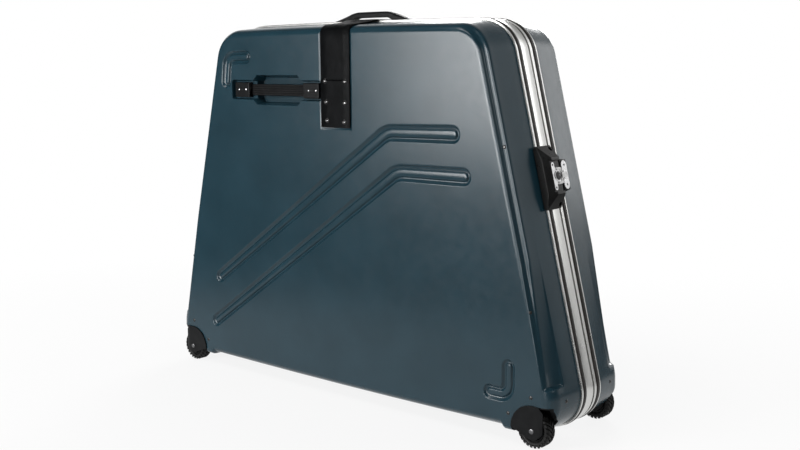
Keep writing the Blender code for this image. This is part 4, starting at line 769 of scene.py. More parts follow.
# Half of the tyre's section as (radius, distance from its middle), from the foot of its side to its crown
TYRE_SIDE = (
    (0.0255, 0.0112), (0.0272, 0.0128), (0.0295, 0.0134), (0.0320, 0.0128),
    (0.0338, 0.0108), (0.0347, 0.0070), (0.0350, 0.0),
)
tyre_rubber, tree, shader, where = finish("tyre_rubber", 0.5, Specular_IOR_Level=0.15)
tint(tree, shader, noise(tree, where, 70.0, 5.0), (0.0040, 0.0040, 0.0040), (0.0110, 0.0108, 0.0105))
gloss(tree, shader, noise(tree, where, 140.0, 4.0), 0.42, 0.65)
relief(tree, shader, (noise(tree, where, 400.0, 3.0), 0.00012), (noise(tree, where, 1800.0, 2.0), 0.00006))


def turned(profile, centre, steps):
    """Points and faces of a closed (radius, y) profile turned about an axis along Y."""
    count = len(profile)
    points, faces = [], []
    for i in range(steps):
        turn = math.tau * i / steps
        a, b = i * count, (i + 1) % steps * count
        for k, (r, y) in enumerate(profile):
            points.append((centre[0] + r * math.cos(turn), centre[1] + y, centre[2] + r * math.sin(turn)))
            faces.append((a + k, a + (k + 1) % count, b + (k + 1) % count, b + k))
    return points, faces


def together(parts):
    """Points and faces of several forms as one mesh."""
    points, faces = [], []
    for more, polygons in parts:
        start = len(points)
        points += more
        faces += [tuple(start + i for i in polygon) for polygon in polygons]
    return points, faces


# The floor of the tread, and each block's lean, its half width as a share of the pitch, and its narrower foot
TREAD_FLOOR, BLOCK_LEAN, BLOCK_SHARE, FOOT_SHARE = WHEEL_R - 0.0030, 0.9, 0.30, 0.86
BLOCK_SECTION = (
    (TREAD_FLOOR - 0.0010, 0.0006), (WHEEL_R - 0.0001, 0.0006), (WHEEL_R - 0.0001, 0.0098),
    (WHEEL_R - 0.0016, 0.0131), (WHEEL_R * 0.885, 0.0146), (WHEEL_R * 0.80, 0.0141),
    (WHEEL_R * 0.80, 0.0122), (TREAD_FLOOR - 0.0016, 0.0100),
)


def tread_block(centre, turn, row):
    """One block of the tread, leaning a little, with a foot down the tyre's side."""
    sides = []
    for way in (-1, 1):
        side = []
        for r, y in BLOCK_SECTION:
            width = math.tau / BLOCKS * BLOCK_SHARE * (1.0 if r > TREAD_FLOOR else FOOT_SHARE)
            at = turn + way * width + BLOCK_LEAN * y / WHEEL_R
            side.append((centre[0] + r * math.cos(at), centre[1] + row * y, centre[2] + r * math.sin(at)))
        sides.append(side)
    return loft(sides)


wide = TYRE_WIDTH / 2 - TYRE_FOOT
carcass = [(HUB_R + GAP, -wide), (HUB_R + GAP, wide), *TYRE_SIDE]
carcass += [(r, -y) for r, y in reversed(TYRE_SIDE[:-1])]
for half, side, label in corners:
    centre = (side * WHEEL_X, half.sign * WHEEL_Y, WHEEL_R)
    parts = [turned(carcass, centre, 96)]
    for i in range(BLOCKS):
        parts.append(tread_block(centre, math.tau * i / BLOCKS, 1))
        parts.append(tread_block(centre, math.tau * (i + 0.5) / BLOCKS, -1))
    tyre = soften(solid("knobbly_tyre_" + label, *together(parts), tyre_rubber), 0.0004, 30)
    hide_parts("tyre_" + label)
    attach(tyre, "wheel_" + label)
    shaped_copy("wheel_hub_" + label, "hub_" + label, moulded_nylon, 0.0004)

dull_steel, tree, shader, where = finish("dull_steel", 0.35, 1.0)
tint(tree, shader, noise(tree, where, 90.0, 4.0), (0.085, 0.085, 0.088), (0.170, 0.170, 0.172))
gloss(tree, shader, noise(tree, where, 200.0, 4.0), 0.28, 0.45)
relief(tree, shader, (noise(tree, where, 700.0, 2.0), 0.00004))
for half, side, label in corners:
    shaped_copy("wheel_axle_" + label, "axle_rivet_" + label, dull_steel, 0.0004)

# Latches. On each end a black moulded guard on the front frame carries a plated base plate with two holed
# ears. A key with a half-moon wing turns in its collar and draws a hook over the ridge of the
# keeper plate, which sits on a block of its own on the rear half.

plated_steel, tree, shader, where = finish("plated_steel", 0.18, 1.0)
tint(tree, shader, noise(tree, where, 80.0, 4.0), (0.50, 0.50, 0.51), (0.64, 0.64, 0.64))
gloss(tree, shader, noise(tree, where, 220.0, 4.0), 0.12, 0.22)
relief(tree, shader, (noise(tree, where, 420.0, 2.0), 0.00005))

zinc_plate, tree, shader, where = finish("zinc_plate", 0.32, 1.0)
tint(tree, shader, noise(tree, where, 60.0, 5.0), (0.30, 0.30, 0.30), (0.44, 0.44, 0.435))
gloss(tree, shader, noise(tree, where, 160.0, 4.0), 0.26, 0.42)
relief(tree, shader, (noise(tree, where, 700.0, 2.0), 0.00003))

guard_nylon, tree, shader, where = finish("guard_nylon", 0.32, Specular_IOR_Level=0.20)
tint(tree, shader, noise(tree, where, 40.0, 4.0), (0.0035, 0.0036, 0.0038), (0.0085, 0.0088, 0.0090))
gloss(tree, shader, noise(tree, where, 170.0, 4.0), 0.26, 0.38)
relief(tree, shader, (noise(tree, where, 1400.0, 2.0), 0.00004))

LATCH_METALS = (("latch_plate", plated_steel), ("latch_hook", zinc_plate),
                ("keeper_plate", plated_steel), ("latch_key", dull_steel))
for word in ("left", "right"):
    shaped_copy("latch_guard_" + word, "guard_" + word, guard_nylon, 0.0008, 15, 3)
    shaped_copy("keeper_block_" + word, "keeper_base_" + word, moulded_nylon, 0.0006)
    for node, metal in LATCH_METALS:
        shaped_copy(f"{node}_{word}", f"plated_{node}_{word}", metal, 0.0003, 32)

# The height of the latches on the end, how far their plates' face stands out of it, and how deep heads sink
LATCH_Z, LATCH_TOP, SUNK = 0.536, 0.0203, 0.0003


def end_matrix(side):
    """From an end's own frame, which is out of it, along Y and up it, to the world."""
    out = Vector((side * math.cos(END_LEAN), 0, math.sin(END_LEAN)))
    up = Vector((-side * math.sin(END_LEAN), 0, math.cos(END_LEAN)))
    place = Vector((side * end_x(LATCH_Z), 0, LATCH_Z))
    return Matrix.Translation(place) @ Matrix((out, Vector((0, 1, 0)), up)).transposed().to_4x4()


def screw_head(radius, high, cross=True, steps=24):
    """Points and faces of a domed head with a cross recess, its seat at the origin, facing +Z."""
    profile = [(radius, -high * 0.6)]
    profile += [(radius * math.cos(t), high * math.sin(t)) for t in (0.0, 0.35, 0.7, 1.0, 1.3)]
    turns = [math.tau * i / steps for i in range(steps)]
    head = solid("head", *loft([[(r * math.cos(t), r * math.sin(t), z) for t in turns] for r, z in profile]))
    if cross:
        # The recess is two crossed bars, cut down to just under half the height of the dome
        arms = []
        for along, across in ((0.62, 0.15), (0.15, 0.62)):
            a, b = radius * along, radius * across
            outline = [(-a, -b), (a, -b), (a, b), (-a, b)]
            levels = (high * 0.45, high * 2)
            arms.append(solid("arm", *loft([[(x, y, z) for x, y in outline] for z in levels])))
        carve(head, arms)
    mesh = head.data
    made = [v.co.copy() for v in mesh.vertices], [tuple(p.vertices) for p in mesh.polygons]
    bpy.data.objects.remove(head)
    return made


def fasteners(name, places, head, material, body):
    """One piece of equal heads, each given as (seat, direction out), and each turned another way."""
    parts = []
    for k, (seat, out) in enumerate(places):
        turn = Vector(out).to_track_quat("Z", "Y").to_matrix() @ Matrix.Rotation(0.4 + 0.7 * k, 3, "Z")
        parts.append(([turn @ p + Vector(seat) for p in head[0]], head[1]))
    piece = shade(solid(name, *together(parts), material), 40)
    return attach(piece, body)


black_screw, tree, shader, where = finish("black_screw", 0.2)
tint(tree, shader, noise(tree, where, 300.0, 3.0), (0.003, 0.003, 0.003), (0.007, 0.007, 0.007))
gloss(tree, shader, noise(tree, where, 400.0, 3.0), 0.14, 0.26)
relief(tree, shader, (noise(tree, where, 900.0, 2.0), 0.00003))
small_screw, ear_screw = screw_head(0.0040, 0.0016), screw_head(0.0026, 0.0009)
plate_face = LATCH_TOP - SUNK
# Each pair's name, its height over the end, its Y, half the distance between the two, and what it is. The
# screws in the plates' ears are black partly as painted shade: they stand for the dark holes of the ears.
LATCH_SCREWS = (
    ("latch_screws_", plate_face, -0.0225, 0.0235, ear_screw, black_screw, "latch_metal", "front_half"),
    ("guard_screws_", 0.0036, -0.0045, 0.0575, small_screw, moulded_nylon, "hardware", "front_half"),
    ("keeper_screws_", plate_face, 0.0195, 0.0205, ear_screw, black_screw, "latch_metal", "rear_half"),
)
for side, word in ENDS:
    at_end = end_matrix(side)
    out = at_end.to_3x3() @ Vector((1, 0, 0))
    for name, over_end, y, up, head, metal, slot, body in LATCH_SCREWS:
        seats = [(at_end @ Vector((over_end, y, way * up)), out) for way in (-1, 1)]
        fasteners(name + word, seats, head, metal, body)

# Hinges. Two plated butt hinges of three knuckles, screwed under the frames by three screws to a leaf,
# with a steel pin through each.

# Where the hinges lie, a leaf's screws along it, its middle from the parting, and its drop below the case
HINGE_X, HINGE_SCREWS, LEAF_MIDDLE, LEAF_DROP = 0.300, (-0.022, 0.0, 0.022), 0.0155, 0.0017
hinge_screw = screw_head(0.0034, 0.0012)
for side, word in ENDS:
    for leaf, sign in (("front", -1), ("rear", 1)):
        shaped_copy(f"hinge_{word}_{leaf}_leaf", f"hinge_flap_{word}_{leaf}", zinc_plate, 0.0003)
        places = []
        for x in HINGE_SCREWS:
            place = (side * HINGE_X + x, PARTING_Y + sign * LEAF_MIDDLE, CASE_BOTTOM - LEAF_DROP)
            places.append((place, (0, 0, -1)))
        fasteners(f"hinge_screws_{word}_{leaf}", places, hinge_screw, zinc_plate, leaf + "_half")
    shaped_copy(f"hinge_{word}_pin", f"hinge_rod_{word}", plated_steel, 0.0003)

# Shell screws. Small black screws with domed heads hold the housings, the ribs inside the ends and the
# corners of the lining. Their places are (x, z) on the face, and (z, depth) on the ends.

FACE_SCREWS = ((0.526, 0.106), (0.471, 0.063))
END_SCREWS = ((0.6085, 0.123), (0.2856, 0.130), (0.0974, 0.0868))


def surface_point(half, side, z, depth):
    """The point of a shell's end at a height and a distance from the middle, and the way out of it."""
    edge = min((e for e in OUTLINE if e.x * side > 0 and e.nz < 0.9), key=lambda e: abs(e.z - z))
    section = pressed_section(edge, half, 0.0)
    for (i0, d0), (i1, d1) in zip(section[1:], section[2:]):
        if d0 <= depth <= d1:
            share = (depth - d0) / (d1 - d0)
            inset = i0 + share * (i1 - i0)
            slope = (i1 - i0) / (d1 - d0)
            out = Vector((edge.nx, half.sign * slope, edge.nz)).normalized()
            shift = (z - edge.z) / edge.nx
            along = edge.x - inset * edge.nx - shift * edge.nz
            return Vector((along, half.sign * depth, z - inset * edge.nz)), out


shell_screw = screw_head(0.0040, 0.0014)
for half in (FRONT, REAR):
    out = Vector((0, half.sign, 0))
    places = []
    for side in (-1, 1):
        for x, z in FACE_SCREWS:
            places.append((Vector((side * x, half.sign * HALF_DEPTH, z)), out))
        for z, depth in END_SCREWS:
            places.append(surface_point(half, side, z, depth))
    fasteners("shell_screws_" + half.name, places, shell_screw, black_screw, half.name + "_half")

# Closing strap. A broad band of tightly woven black nylon, riveted to the front shell by six rivets
# through a doubled end, that runs up over the frames and holds by hook tape on the rear shell.

# The strap's thickness, its length behind the middle, and the pace of the points along its straight part
STRAP_THICK, STRAP_TAIL, STRAP_PACE = 0.003, 0.048, 0.012


def maths(tree, operation, first, second=0.0):
    """The result of one operation on one or two values."""
    return add(tree, "Math", {0: first, 1: second}, operation=operation).outputs[0]


def weave(tree, where, scale):
    """Crossed threads, that many to the metre, over one and under one."""
    split = add(tree, "SeparateXYZ", {"Vector": where}).outputs
    ways = []
    for value in (split["X"], maths(tree, "ADD", split["Y"], split["Z"])):
        ways.append(maths(tree, "SINE", maths(tree, "MULTIPLY", value, scale * math.pi)))
    crossed = maths(tree, "MULTIPLY", *ways)
    return add(tree, "MapRange", {"Value": crossed, "From Min": -1.0, "From Max": 1.0}).outputs["Result"]


woven_nylon, tree, shader, where = finish("woven_nylon", 0.42, Specular_IOR_Level=0.03)
threads = weave(tree, where, 800.0)
tint(tree, shader, noise(tree, where, 35.0, 5.0), (0.0020, 0.0023, 0.0026), (0.0050, 0.0055, 0.0062))
gloss(tree, shader, noise(tree, where, 90.0, 4.0), 0.30, 0.52)
relief(tree, shader, (noise(tree, where, 28.0, 3.0), 0.0016), (threads, 0.00012))


def offset_line(points, distance):
    """The line of (y, z) points moved sideways, with mitred bends."""
    points = [Vector(p) for p in points]
    ways = [(b - a).normalized() for a, b in zip(points, points[1:])]
    sides = [Vector((-w.y, w.x)) for w in ways]
    made = [points[0] + sides[0] * distance]
    for point, before, after in zip(points[1:], sides, sides[1:]):
        middle = (before + after).normalized()
        made.append(point + middle * (distance / middle.dot(before)))
    return made + [points[-1] + sides[-1] * distance]


def band_along(name, line, thick, half_width, material, edge_cut=0.0009, shares=None):
    """A flat band laid on a line of (y, z) points, with rounded edges; shares narrows it point by point."""
    far = offset_line(line, thick)
    cut = min(edge_cut, thick * 0.45)
    rings = []
    for k, (low, high) in enumerate(zip(line, far)):
        wide = half_width * (shares[k] if shares else 1.0)
        across = (-wide + cut, -wide / 2, 0.0, wide / 2, wide - cut)
        around = [(-wide, cut / thick), *((x, 0.0) for x in across), (wide, cut / thick)]
        around += [(wide, 1 - cut / thick), *((x, 1.0) for x in reversed(across)), (-wide, 1 - cut / thick)]
        places = [(x, Vector(low).lerp(high, share)) for x, share in around]
        rings.append([(x, at.x, at.y) for x, at in places])
    return shade(solid(name, *loft(rings), material), 50)


# The strap's inner line runs up the channel, round the shoulder, over the lip and onto the rear half
top_edge = edge_at(0.0, CASE_TOP, math.pi / 2, top=1)
shoulder = [(-depth, CASE_TOP - inset) for inset, depth in reversed(pressed_section(top_edge, FRONT, 0.0))]
shoulder = [place for place in shoulder if place[0] < -0.095]
floor_y = -(HALF_DEPTH - CHANNEL_DEPTH) - GAP
over = [place for place in offset_line(shoulder, GAP) if place.x > floor_y]
strap_foot = CASE_TOP - STRAP_DROP
straight = int((over[0].y - strap_foot) / STRAP_PACE)
under_line = [(floor_y, strap_foot + STRAP_PACE * i) for i in range(straight)]
under_line += [tuple(place) for place in over]
leave, lip = -FRONT.leave, CASE_TOP + GAP
under_line += [(leave - 0.026, CASE_TOP - LIP_PROUD - 0.0012), (leave - 0.012, lip - 0.0022)]
under_line += [(y, lip) for y in (leave - 0.004, leave + 0.012, -0.012, 0.010, 0.030, STRAP_TAIL)]
narrowed = [0.955, 0.99] + [1.0] * (len(under_line) - 2)
strap = band_along("woven_strap", under_line, STRAP_THICK, STRAP_WIDTH / 2, woven_nylon, shares=narrowed)
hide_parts("closing_strap")
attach(strap, "front_half")

# The strap's end is folded back under the rivets, and the fold's upper edge sags in the middle
FOLD_THICK, FOLD_LIFT, FOLD_DIP, DIP_START, DIP_RUN, DIP_HALF = 0.0008, 0.0008, 0.0035, 0.08, 0.026, 0.044
fold_y = floor_y - STRAP_THICK - 0.0001
heights = (0.0, 0.004, 0.02, 0.04, 0.06, 0.08, 0.1035, 0.1060)
doubled = [(fold_y, strap_foot + FOLD_LIFT + z) for z in heights]
patch = band_along("strap_doubling", doubled, FOLD_THICK, STRAP_WIDTH / 2 - 0.0004, woven_nylon, 0.0004)
for vertex in patch.data.vertices:
    share = smooth((vertex.co.z - strap_foot - DIP_START) / DIP_RUN)
    vertex.co.z -= FOLD_DIP * share * (1 - (vertex.co.x / DIP_HALF) ** 2)
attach(patch, "front_half")

RIVETS = ((-0.0295, 0.7311), (0.0314, 0.7300), (-0.0266, 0.6847),
          (0.0303, 0.6836), (-0.0245, 0.6434), (0.0278, 0.6412))
# A washer's section as (radius, height), with a rolled rim
WASHER = ((0.0018, 0.0), (0.0060, 0.0), (0.0060, 0.0004), (0.0056, 0.0011),
          (0.0049, 0.0014), (0.0041, 0.0011), (0.0032, 0.0004), (0.0018, 0.0004))
rivet_places = [(Vector((x, fold_y - FOLD_THICK, z)), (0, -1, 0)) for x, z in RIVETS]
washers = [turned([(r, -y) for r, y in WASHER], place, 32) for place, _ in rivet_places]
ring = shade(solid("strap_washers", *together(washers), black_screw), 40)
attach(ring, "front_half")
rivet_head = screw_head(0.0017, 0.0014, cross=False)
fasteners("strap_rivets", rivet_places, rivet_head, plated_steel, "front_half")

# Hook tape. A patch of stiff black hooks sewn to a backing and glued to the rear shell, where the
# strap's free end presses on it.

hook_nylon, tree, shader, where = finish("hook_nylon", 0.8, Sheen_Weight=0.2)
tint(tree, shader, noise(tree, where, 500.0, 3.0), (0.008, 0.008, 0.009), (0.022, 0.022, 0.024))
gloss(tree, shader, noise(tree, where, 300.0, 3.0), 0.65, 0.9)
relief(tree, shader, (noise(tree, where, 1500.0, 2.0), 0.00015))

# The tape is thicker behind than in front, because the shell falls away under it, and rough with hooks
TAPE_FALL, TAPE_DROP, TAPE_HOOK = 0.1, 0.0009, 0.0006


def thick_sheet(under, over, faces):
    """Points and faces of a closed sheet, from the points of its two sides and the faces both have."""
    size = len(under)
    made, edges = [], {}
    for face in faces:
        made += [tuple(face), tuple(size + i for i in face)]
        for a, b in zip(face, face[1:] + face[:1]):
            edges[(a, b)] = (b, a)
    for (a, b), other_way in edges.items():
        if other_way not in edges:
            made.append((a, b, b + size, a + size))
    return under + over, made


low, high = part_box("strap_hook_patch")
columns, rows = 48, 10
under, over = [], []
for i in range(columns + 1):
    for k in range(rows + 1):
        x = low.x + (high.x - low.x) * i / columns
        y = low.y + (high.y - low.y) * k / rows
        hook = TAPE_HOOK if (i + k) % 2 and 0 < i < columns and 0 < k < rows else 0.0
        under.append((x, y, CASE_TOP - LIP_PROUD - TAPE_FALL * (y - REAR.leave) + GAP))
        over.append((x, y, CASE_TOP - TAPE_DROP + hook))
firsts = [i * (rows + 1) + k for i in range(columns) for k in range(rows)]
quads = [(a, a + rows + 1, a + rows + 2, a + 1) for a in firsts]
tape = solid("hook_tape", *thick_sheet(under, over, quads), hook_nylon)
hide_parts("strap_hook_patch")
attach(tape, "rear_half")

# Side grip. A ribbed band of soft black plastic lies across the hand pocket, and its ends float under
# two moulded caps, each held in the recess by two screws.

soft_plastic, tree, shader, where = finish("soft_plastic", 0.42, Specular_IOR_Level=0.09)
tint(tree, shader, noise(tree, where, 50.0, 4.0), (0.0030, 0.0030, 0.0033), (0.0070, 0.0070, 0.0075))
gloss(tree, shader, noise(tree, where, 200.0, 4.0), 0.45, 0.62)
relief(tree, shader, (noise(tree, where, 900.0, 2.0), 0.00005))
# The band's height and thickness, its ribs, how far a rib falls to its sides, and the gap beside each
GRIP_HEIGHT, GRIP_THICK, GRIP_RIBS, RIB_FALL, RIB_GAP = 0.027, 0.0026, 5, 0.0011, 0.06
low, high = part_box("side_grip_band")
section = [(0.0, -GRIP_HEIGHT / 2), (0.0, GRIP_HEIGHT / 2)]
pitch = GRIP_HEIGHT / GRIP_RIBS
for i in range(GRIP_RIBS):
    top = GRIP_HEIGHT / 2 - i * pitch
    for k in range(9):
        share = k / 8
        rise = GRIP_THICK - RIB_FALL * abs(2 * share - 1) ** 3
        section.append((rise, top - pitch * (RIB_GAP + (1 - 2 * RIB_GAP) * share)))
rings = []
for i in range(25):
    x = low.x + (high.x - low.x) * i / 24
    rings.append([(x, high.y - out, GRIP_Z + up) for out, up in section])
band = shade(solid("grip_band", *loft(rings), soft_plastic), 50)
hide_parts("side_grip_band")
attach(band, "side_grip")
for word in ("left", "right"):
    shaped_copy("side_grip_cap_" + word, "grip_cap_" + word, moulded_nylon, 0.0009, 28, 3)
CAP_SCREWS, CAP_SCREW_Z, CAP_FACE = ((-0.3211, -0.2972), (-0.0853, -0.0610)), 0.709, HALF_DEPTH + 0.0005
cap_screw = screw_head(0.0026, 0.0010)
for word, pair in zip(("left", "right"), CAP_SCREWS):
    places = [(Vector((x, -CAP_FACE, CAP_SCREW_Z)), (0, -1, 0)) for x in pair]
    fasteners("grip_screws_" + word, places, cap_screw, plated_steel, "front_half")

# Carry handle. A flat black arch of tough plastic over the middle of the front frame. Its thin ends run
# into two moulded caps, in which they ride up a little when the case is lifted.

# The handle's place, width and rise; where its upper side begins to fall, and over what length
HANDLE_X, HANDLE_WIDTH, HANDLE_RISE, HANDLE_LEVEL, HANDLE_FALL = 0.0105, 0.020, 0.0214, 0.038, 0.093
# Its under side's height, where that begins to fall, how low it ends, and the reach of the thick part
HANDLE_UNDER, UNDER_LEVEL, UNDER_LOW, HANDLE_REACH = 0.0084, 0.045, 0.0015, 0.0664
# How far it stands in front of the band's middle, its rounding, its play in the caps, and its screws
HANDLE_FORWARD, HANDLE_ROUND, HANDLE_PLAY, HANDLE_SCREW = 0.0045, 0.0045, 0.0004, 0.098
# The thin tongue at each end: its heights, its set-in from the sides, its rounding, and its two ends
TONGUE_LOW, TONGUE_HIGH, TONGUE_IN, TONGUE_ROUND = 0.0017, 0.0037, 0.0026, 0.0008
TONGUE_BACK, TONGUE_ON = 0.006, 0.013
handle_y = (front_band + front_face) / 2 - HANDLE_FORWARD


def band_top(offset):
    """The height of the front frame's crowned band under a point of the handle."""
    return CASE_TOP - TOP_CROWN / 4 * min(1.0, 2 * abs(HANDLE_X + offset) / TOP_CENTRE[0]) - BAND_DROP


def handle_ring(offset, low, high, half, round_off):
    """A section of the handle, its upper edges well rounded."""
    base = band_top(offset)
    upper, lower = min(round_off, (high - low) * 0.45), min(0.0012, (high - low) * 0.25)
    made = []
    for x, z, radius, first in ((half, low, lower, 270), (half, high, upper, 0),
                                (-half, high, upper, 90), (-half, low, lower, 180)):
        y, up = handle_y + (x - math.copysign(radius, x)), base + (z + (radius if z == low else -radius))
        for k in range(6):
            turn = math.radians(first + 18 * k)
            made.append((HANDLE_X + offset, y + radius * math.cos(turn), up + radius * math.sin(turn)))
    return made


def handle_span(offset):
    """Heights of the arch's lower and upper sides over the frame."""
    rise = HANDLE_RISE * (1 - smooth((abs(offset) - HANDLE_LEVEL) / HANDLE_FALL))
    share = smooth((abs(offset) - UNDER_LEVEL) / (HANDLE_REACH - UNDER_LEVEL))
    return HANDLE_UNDER + (UNDER_LOW - HANDLE_UNDER) * share, rise


reach = HANDLE_REACH - HANDLE_PLAY
rings = []
for i in range(41):
    offset = reach * (i / 20 - 1)
    rings.append(handle_ring(offset, *handle_span(offset), HANDLE_WIDTH / 2, HANDLE_ROUND))
parts = [loft(rings)]
for side in (-1, 1):
    rings = []
    for offset in (side * (reach - TONGUE_BACK), side * (reach + TONGUE_ON)):
        rings.append(handle_ring(offset, TONGUE_LOW, TONGUE_HIGH, HANDLE_WIDTH / 2 - TONGUE_IN, TONGUE_ROUND))
    parts.append(loft(rings))
arch = shade(solid("handle_arch", *together(parts), moulded_nylon), 40)
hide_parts("carry_handle")
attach(arch, "top_handle")
for word in ("left", "right"):
    shaped_copy("carry_handle_cap_" + word, "handle_cap_" + word, moulded_nylon, 0.0010, 25, 3)
places = []
for side in (-1, 1):
    offset = side * HANDLE_SCREW
    slope = (handle_span(offset + 0.001)[1] - handle_span(offset - 0.001)[1]) / 0.002
    place = Vector((HANDLE_X + offset, handle_y, band_top(offset) + handle_span(offset)[1] - SUNK))
    places.append((place, Vector((-slope, 0, 1)).normalized()))
fasteners("handle_screws", places, screw_head(0.0030, 0.0012), plated_steel, "front_half")

# Foam pads. Sheets of grey egg-crate foam, glued to the inside of each face, that hold the bicycle's
# frame and wheels off the shells. The front one is cut out round the hand pocket.

grey_foam, tree, shader, where = finish("grey_foam", 0.95)
cells = add(tree, "TexVoronoi", {"Vector": where, "Scale": 900.0}).outputs["Distance"]
tint(tree, shader, cells, (0.020, 0.021, 0.023), (0.060, 0.063, 0.068), 0.1, 0.6)
gloss(tree, shader, noise(tree, where, 300.0, 2.0), 0.88, 1.0)
relief(tree, shader, (cells, 0.0006))
# The pad's thickness, the pitch of its humps, and the share of the thickness that they rise from
FOAM_THICK, EGG_PITCH, EGG_MEAN = 0.012, 0.028, 0.66
# How far its border lies inside the outline, its lowest height, its cut-out's margin, its border's least pace
FOAM_INSET, FOAM_LOW, CUT_MARGIN, BORDER_PACE = 0.060, 0.135, 0.009, 0.002
for half in (FRONT, REAR):
    low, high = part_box(half.name + "_foam_pad")
    back = HALF_DEPTH - GROOVE_DEPTH - SHELL_WALL - GAP
    limit = end_x(FOAM_LOW) - FOAM_INSET
    border = []
    for e in OUTLINE:
        x, z = e.x - FOAM_INSET * e.nx, e.z - FOAM_INSET * e.nz
        place = Vector((max(-limit, min(limit, x)), max(FOAM_LOW, z)))
        if not border or (place - border[-1]).length > BORDER_PACE:
            border.append(place)
    if (border[0] - border[-1]).length <= BORDER_PACE:
        border.pop()
    left, right = RECESS_SPAN[0] - CUT_MARGIN, -STRAP_WIDTH / 2 + CUT_MARGIN
    down, up = GRIP_Z - POCKET_HALF - CUT_MARGIN, GRIP_Z + POCKET_HALF + CUT_MARGIN
    hole = [Vector(corner) for corner in ((left, down), (right, down), (right, up), (left, up))]
    if half is REAR:
        hole = []
    flat = border + hole
    lines = [(len(border) + i, len(border) + (i + 1) % 4) for i in range(len(hole))]
    pitch = EGG_PITCH / 4
    for i in range(int(low.x / pitch), int(high.x / pitch) + 1):
        for k in range(int(low.z / pitch), int(high.z / pitch) + 1):
            flat.append(Vector((i * pitch, k * pitch)))
    found, _, sheet, *_ = delaunay_2d_cdt(flat, lines, [tuple(range(len(border)))], 1, 1e-6)

    def cut_away(face):
        middle = sum((found[i] for i in face), Vector((0, 0))) / len(face)
        return hole and left < middle.x < right and down < middle.y < up

    glued, humps = [], []
    for x, z in found:
        hump = math.sin(math.tau * x / EGG_PITCH) * math.sin(math.tau * z / EGG_PITCH)
        glued.append((x, half.sign * back, z))
        humps.append((x, half.sign * (back - FOAM_THICK * (EGG_MEAN + (1 - EGG_MEAN) * hump)), z))
    points, faces = thick_sheet(glued, humps, [face for face in sheet if not cut_away(face)])
    pad = shade(solid("egg_foam_" + half.name, points, faces, grey_foam), 60)
    used = bmesh.new()
    used.from_mesh(pad.data)
    bmesh.ops.delete(used, geom=[v for v in used.verts if not v.link_faces], context="VERTS")
    used.to_mesh(pad.data)
    used.free()
    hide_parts(half.name + "_foam_pad")
    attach(pad, half.name + "_half")

# Tie straps. Two lengths of black webbing across the rear pad, riveted through it at their ends, and
# drawn up through ladder buckles.

ribbed_webbing, tree, shader, where = finish("ribbed_webbing", 0.65, Sheen_Weight=0.3, Sheen_Roughness=0.5)
threads = weave(tree, where, 500.0)
tint(tree, shader, threads, (0.010, 0.010, 0.011), (0.026, 0.026, 0.028))
gloss(tree, shader, noise(tree, where, 120.0, 3.0), 0.55, 0.75)
relief(tree, shader, (threads, 0.00018))
# How far the strap rises over its buckle, half the length it is lifted for, the run of the rise, its edge
BUCKLE_RISE, LIFT_HALF, LIFT_RUN, WEB_CUT = 0.0022, 0.0098, 0.0024, 0.0004
# The rivets' distance from the strap's ends and from its middle line
RIVET_IN, RIVET_UP = 0.012, 0.010
for word in ("lower", "upper"):
    shaped_copy("tie_buckle_" + word, "ladder_buckle_" + word, moulded_nylon, 0.0008, 28, 3)
    low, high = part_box("tie_strap_" + word)
    bar_low, bar_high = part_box("tie_buckle_" + word)
    middle = (bar_low.x + bar_high.x) / 2
    lift = bar_high.y - bar_low.y + BUCKLE_RISE
    half_wide, centre_z, thick = (high.z - low.z) / 2, (high.z + low.z) / 2, high.y - low.y
    rings = []
    for i in range(161):
        x = low.x + (high.x - low.x) * i / 160
        y = high.y - lift * (1 - smooth((abs(x - middle) - LIFT_HALF) / LIFT_RUN))
        near, far, cut = y, y - thick, half_wide - WEB_CUT
        section = [(near, -cut), (near, cut), (near - WEB_CUT, half_wide), (far + WEB_CUT, half_wide),
                   (far, cut), (far, -cut), (far + WEB_CUT, -half_wide), (near - WEB_CUT, -half_wide)]
        rings.append([(x, depth, centre_z + up) for depth, up in section])
    webbing = shade(solid("tie_webbing_" + word, *loft(rings), ribbed_webbing), 40)
    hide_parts("tie_strap_" + word)
    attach(webbing, "rear_half")
    places = []
    for x in (low.x + RIVET_IN, high.x - RIVET_IN):
        places += [(Vector((x, low.y - 0.0001, centre_z + z)), (0, -1, 0)) for z in (-RIVET_UP, RIVET_UP)]
    rivet_head = screw_head(0.0036, 0.0014, cross=False)
    fasteners("tie_rivets_" + word, places, rivet_head, plated_steel, "rear_half")

# Studio. A plain pale floor, which to metal glows with a painted pool of light round the case, in a white
# surround that metal sees bright only behind the case and low down.
# Soft lamps stand at the left in front, overhead, at the right and behind, and two strips in front
# show only as reflections. The camera stands where the photograph's did.

floor = solid("studio_floor", [(-30, -30, 0), (30, -30, 0), (30, 30, 0), (-30, 30, 0)], [(0, 1, 2, 3)])
pale_floor, tree, shader, where = finish("pale_floor", 0.9)
tint(tree, shader, noise(tree, where, 3.0, 2.0), (0.70, 0.70, 0.70), (0.72, 0.72, 0.72))


def spread(tree, value, start, end, low, high):
    """The value, carried from one range to another with soft ends."""
    limits = {"Value": value, "From Min": start, "From Max": end, "To Min": low, "To Max": high}
    return add(tree, "MapRange", limits, interpolation_type="SMOOTHSTEP").outputs["Result"]


def ways_seen(tree):
    """One for rays straight from the eye, and one for rays by way of metal or glass."""
    path = add(tree, "LightPath").outputs
    return path["Is Camera Ray"], maths(tree, "MAXIMUM", path["Is Glossy Ray"], path["Is Transmission Ray"])
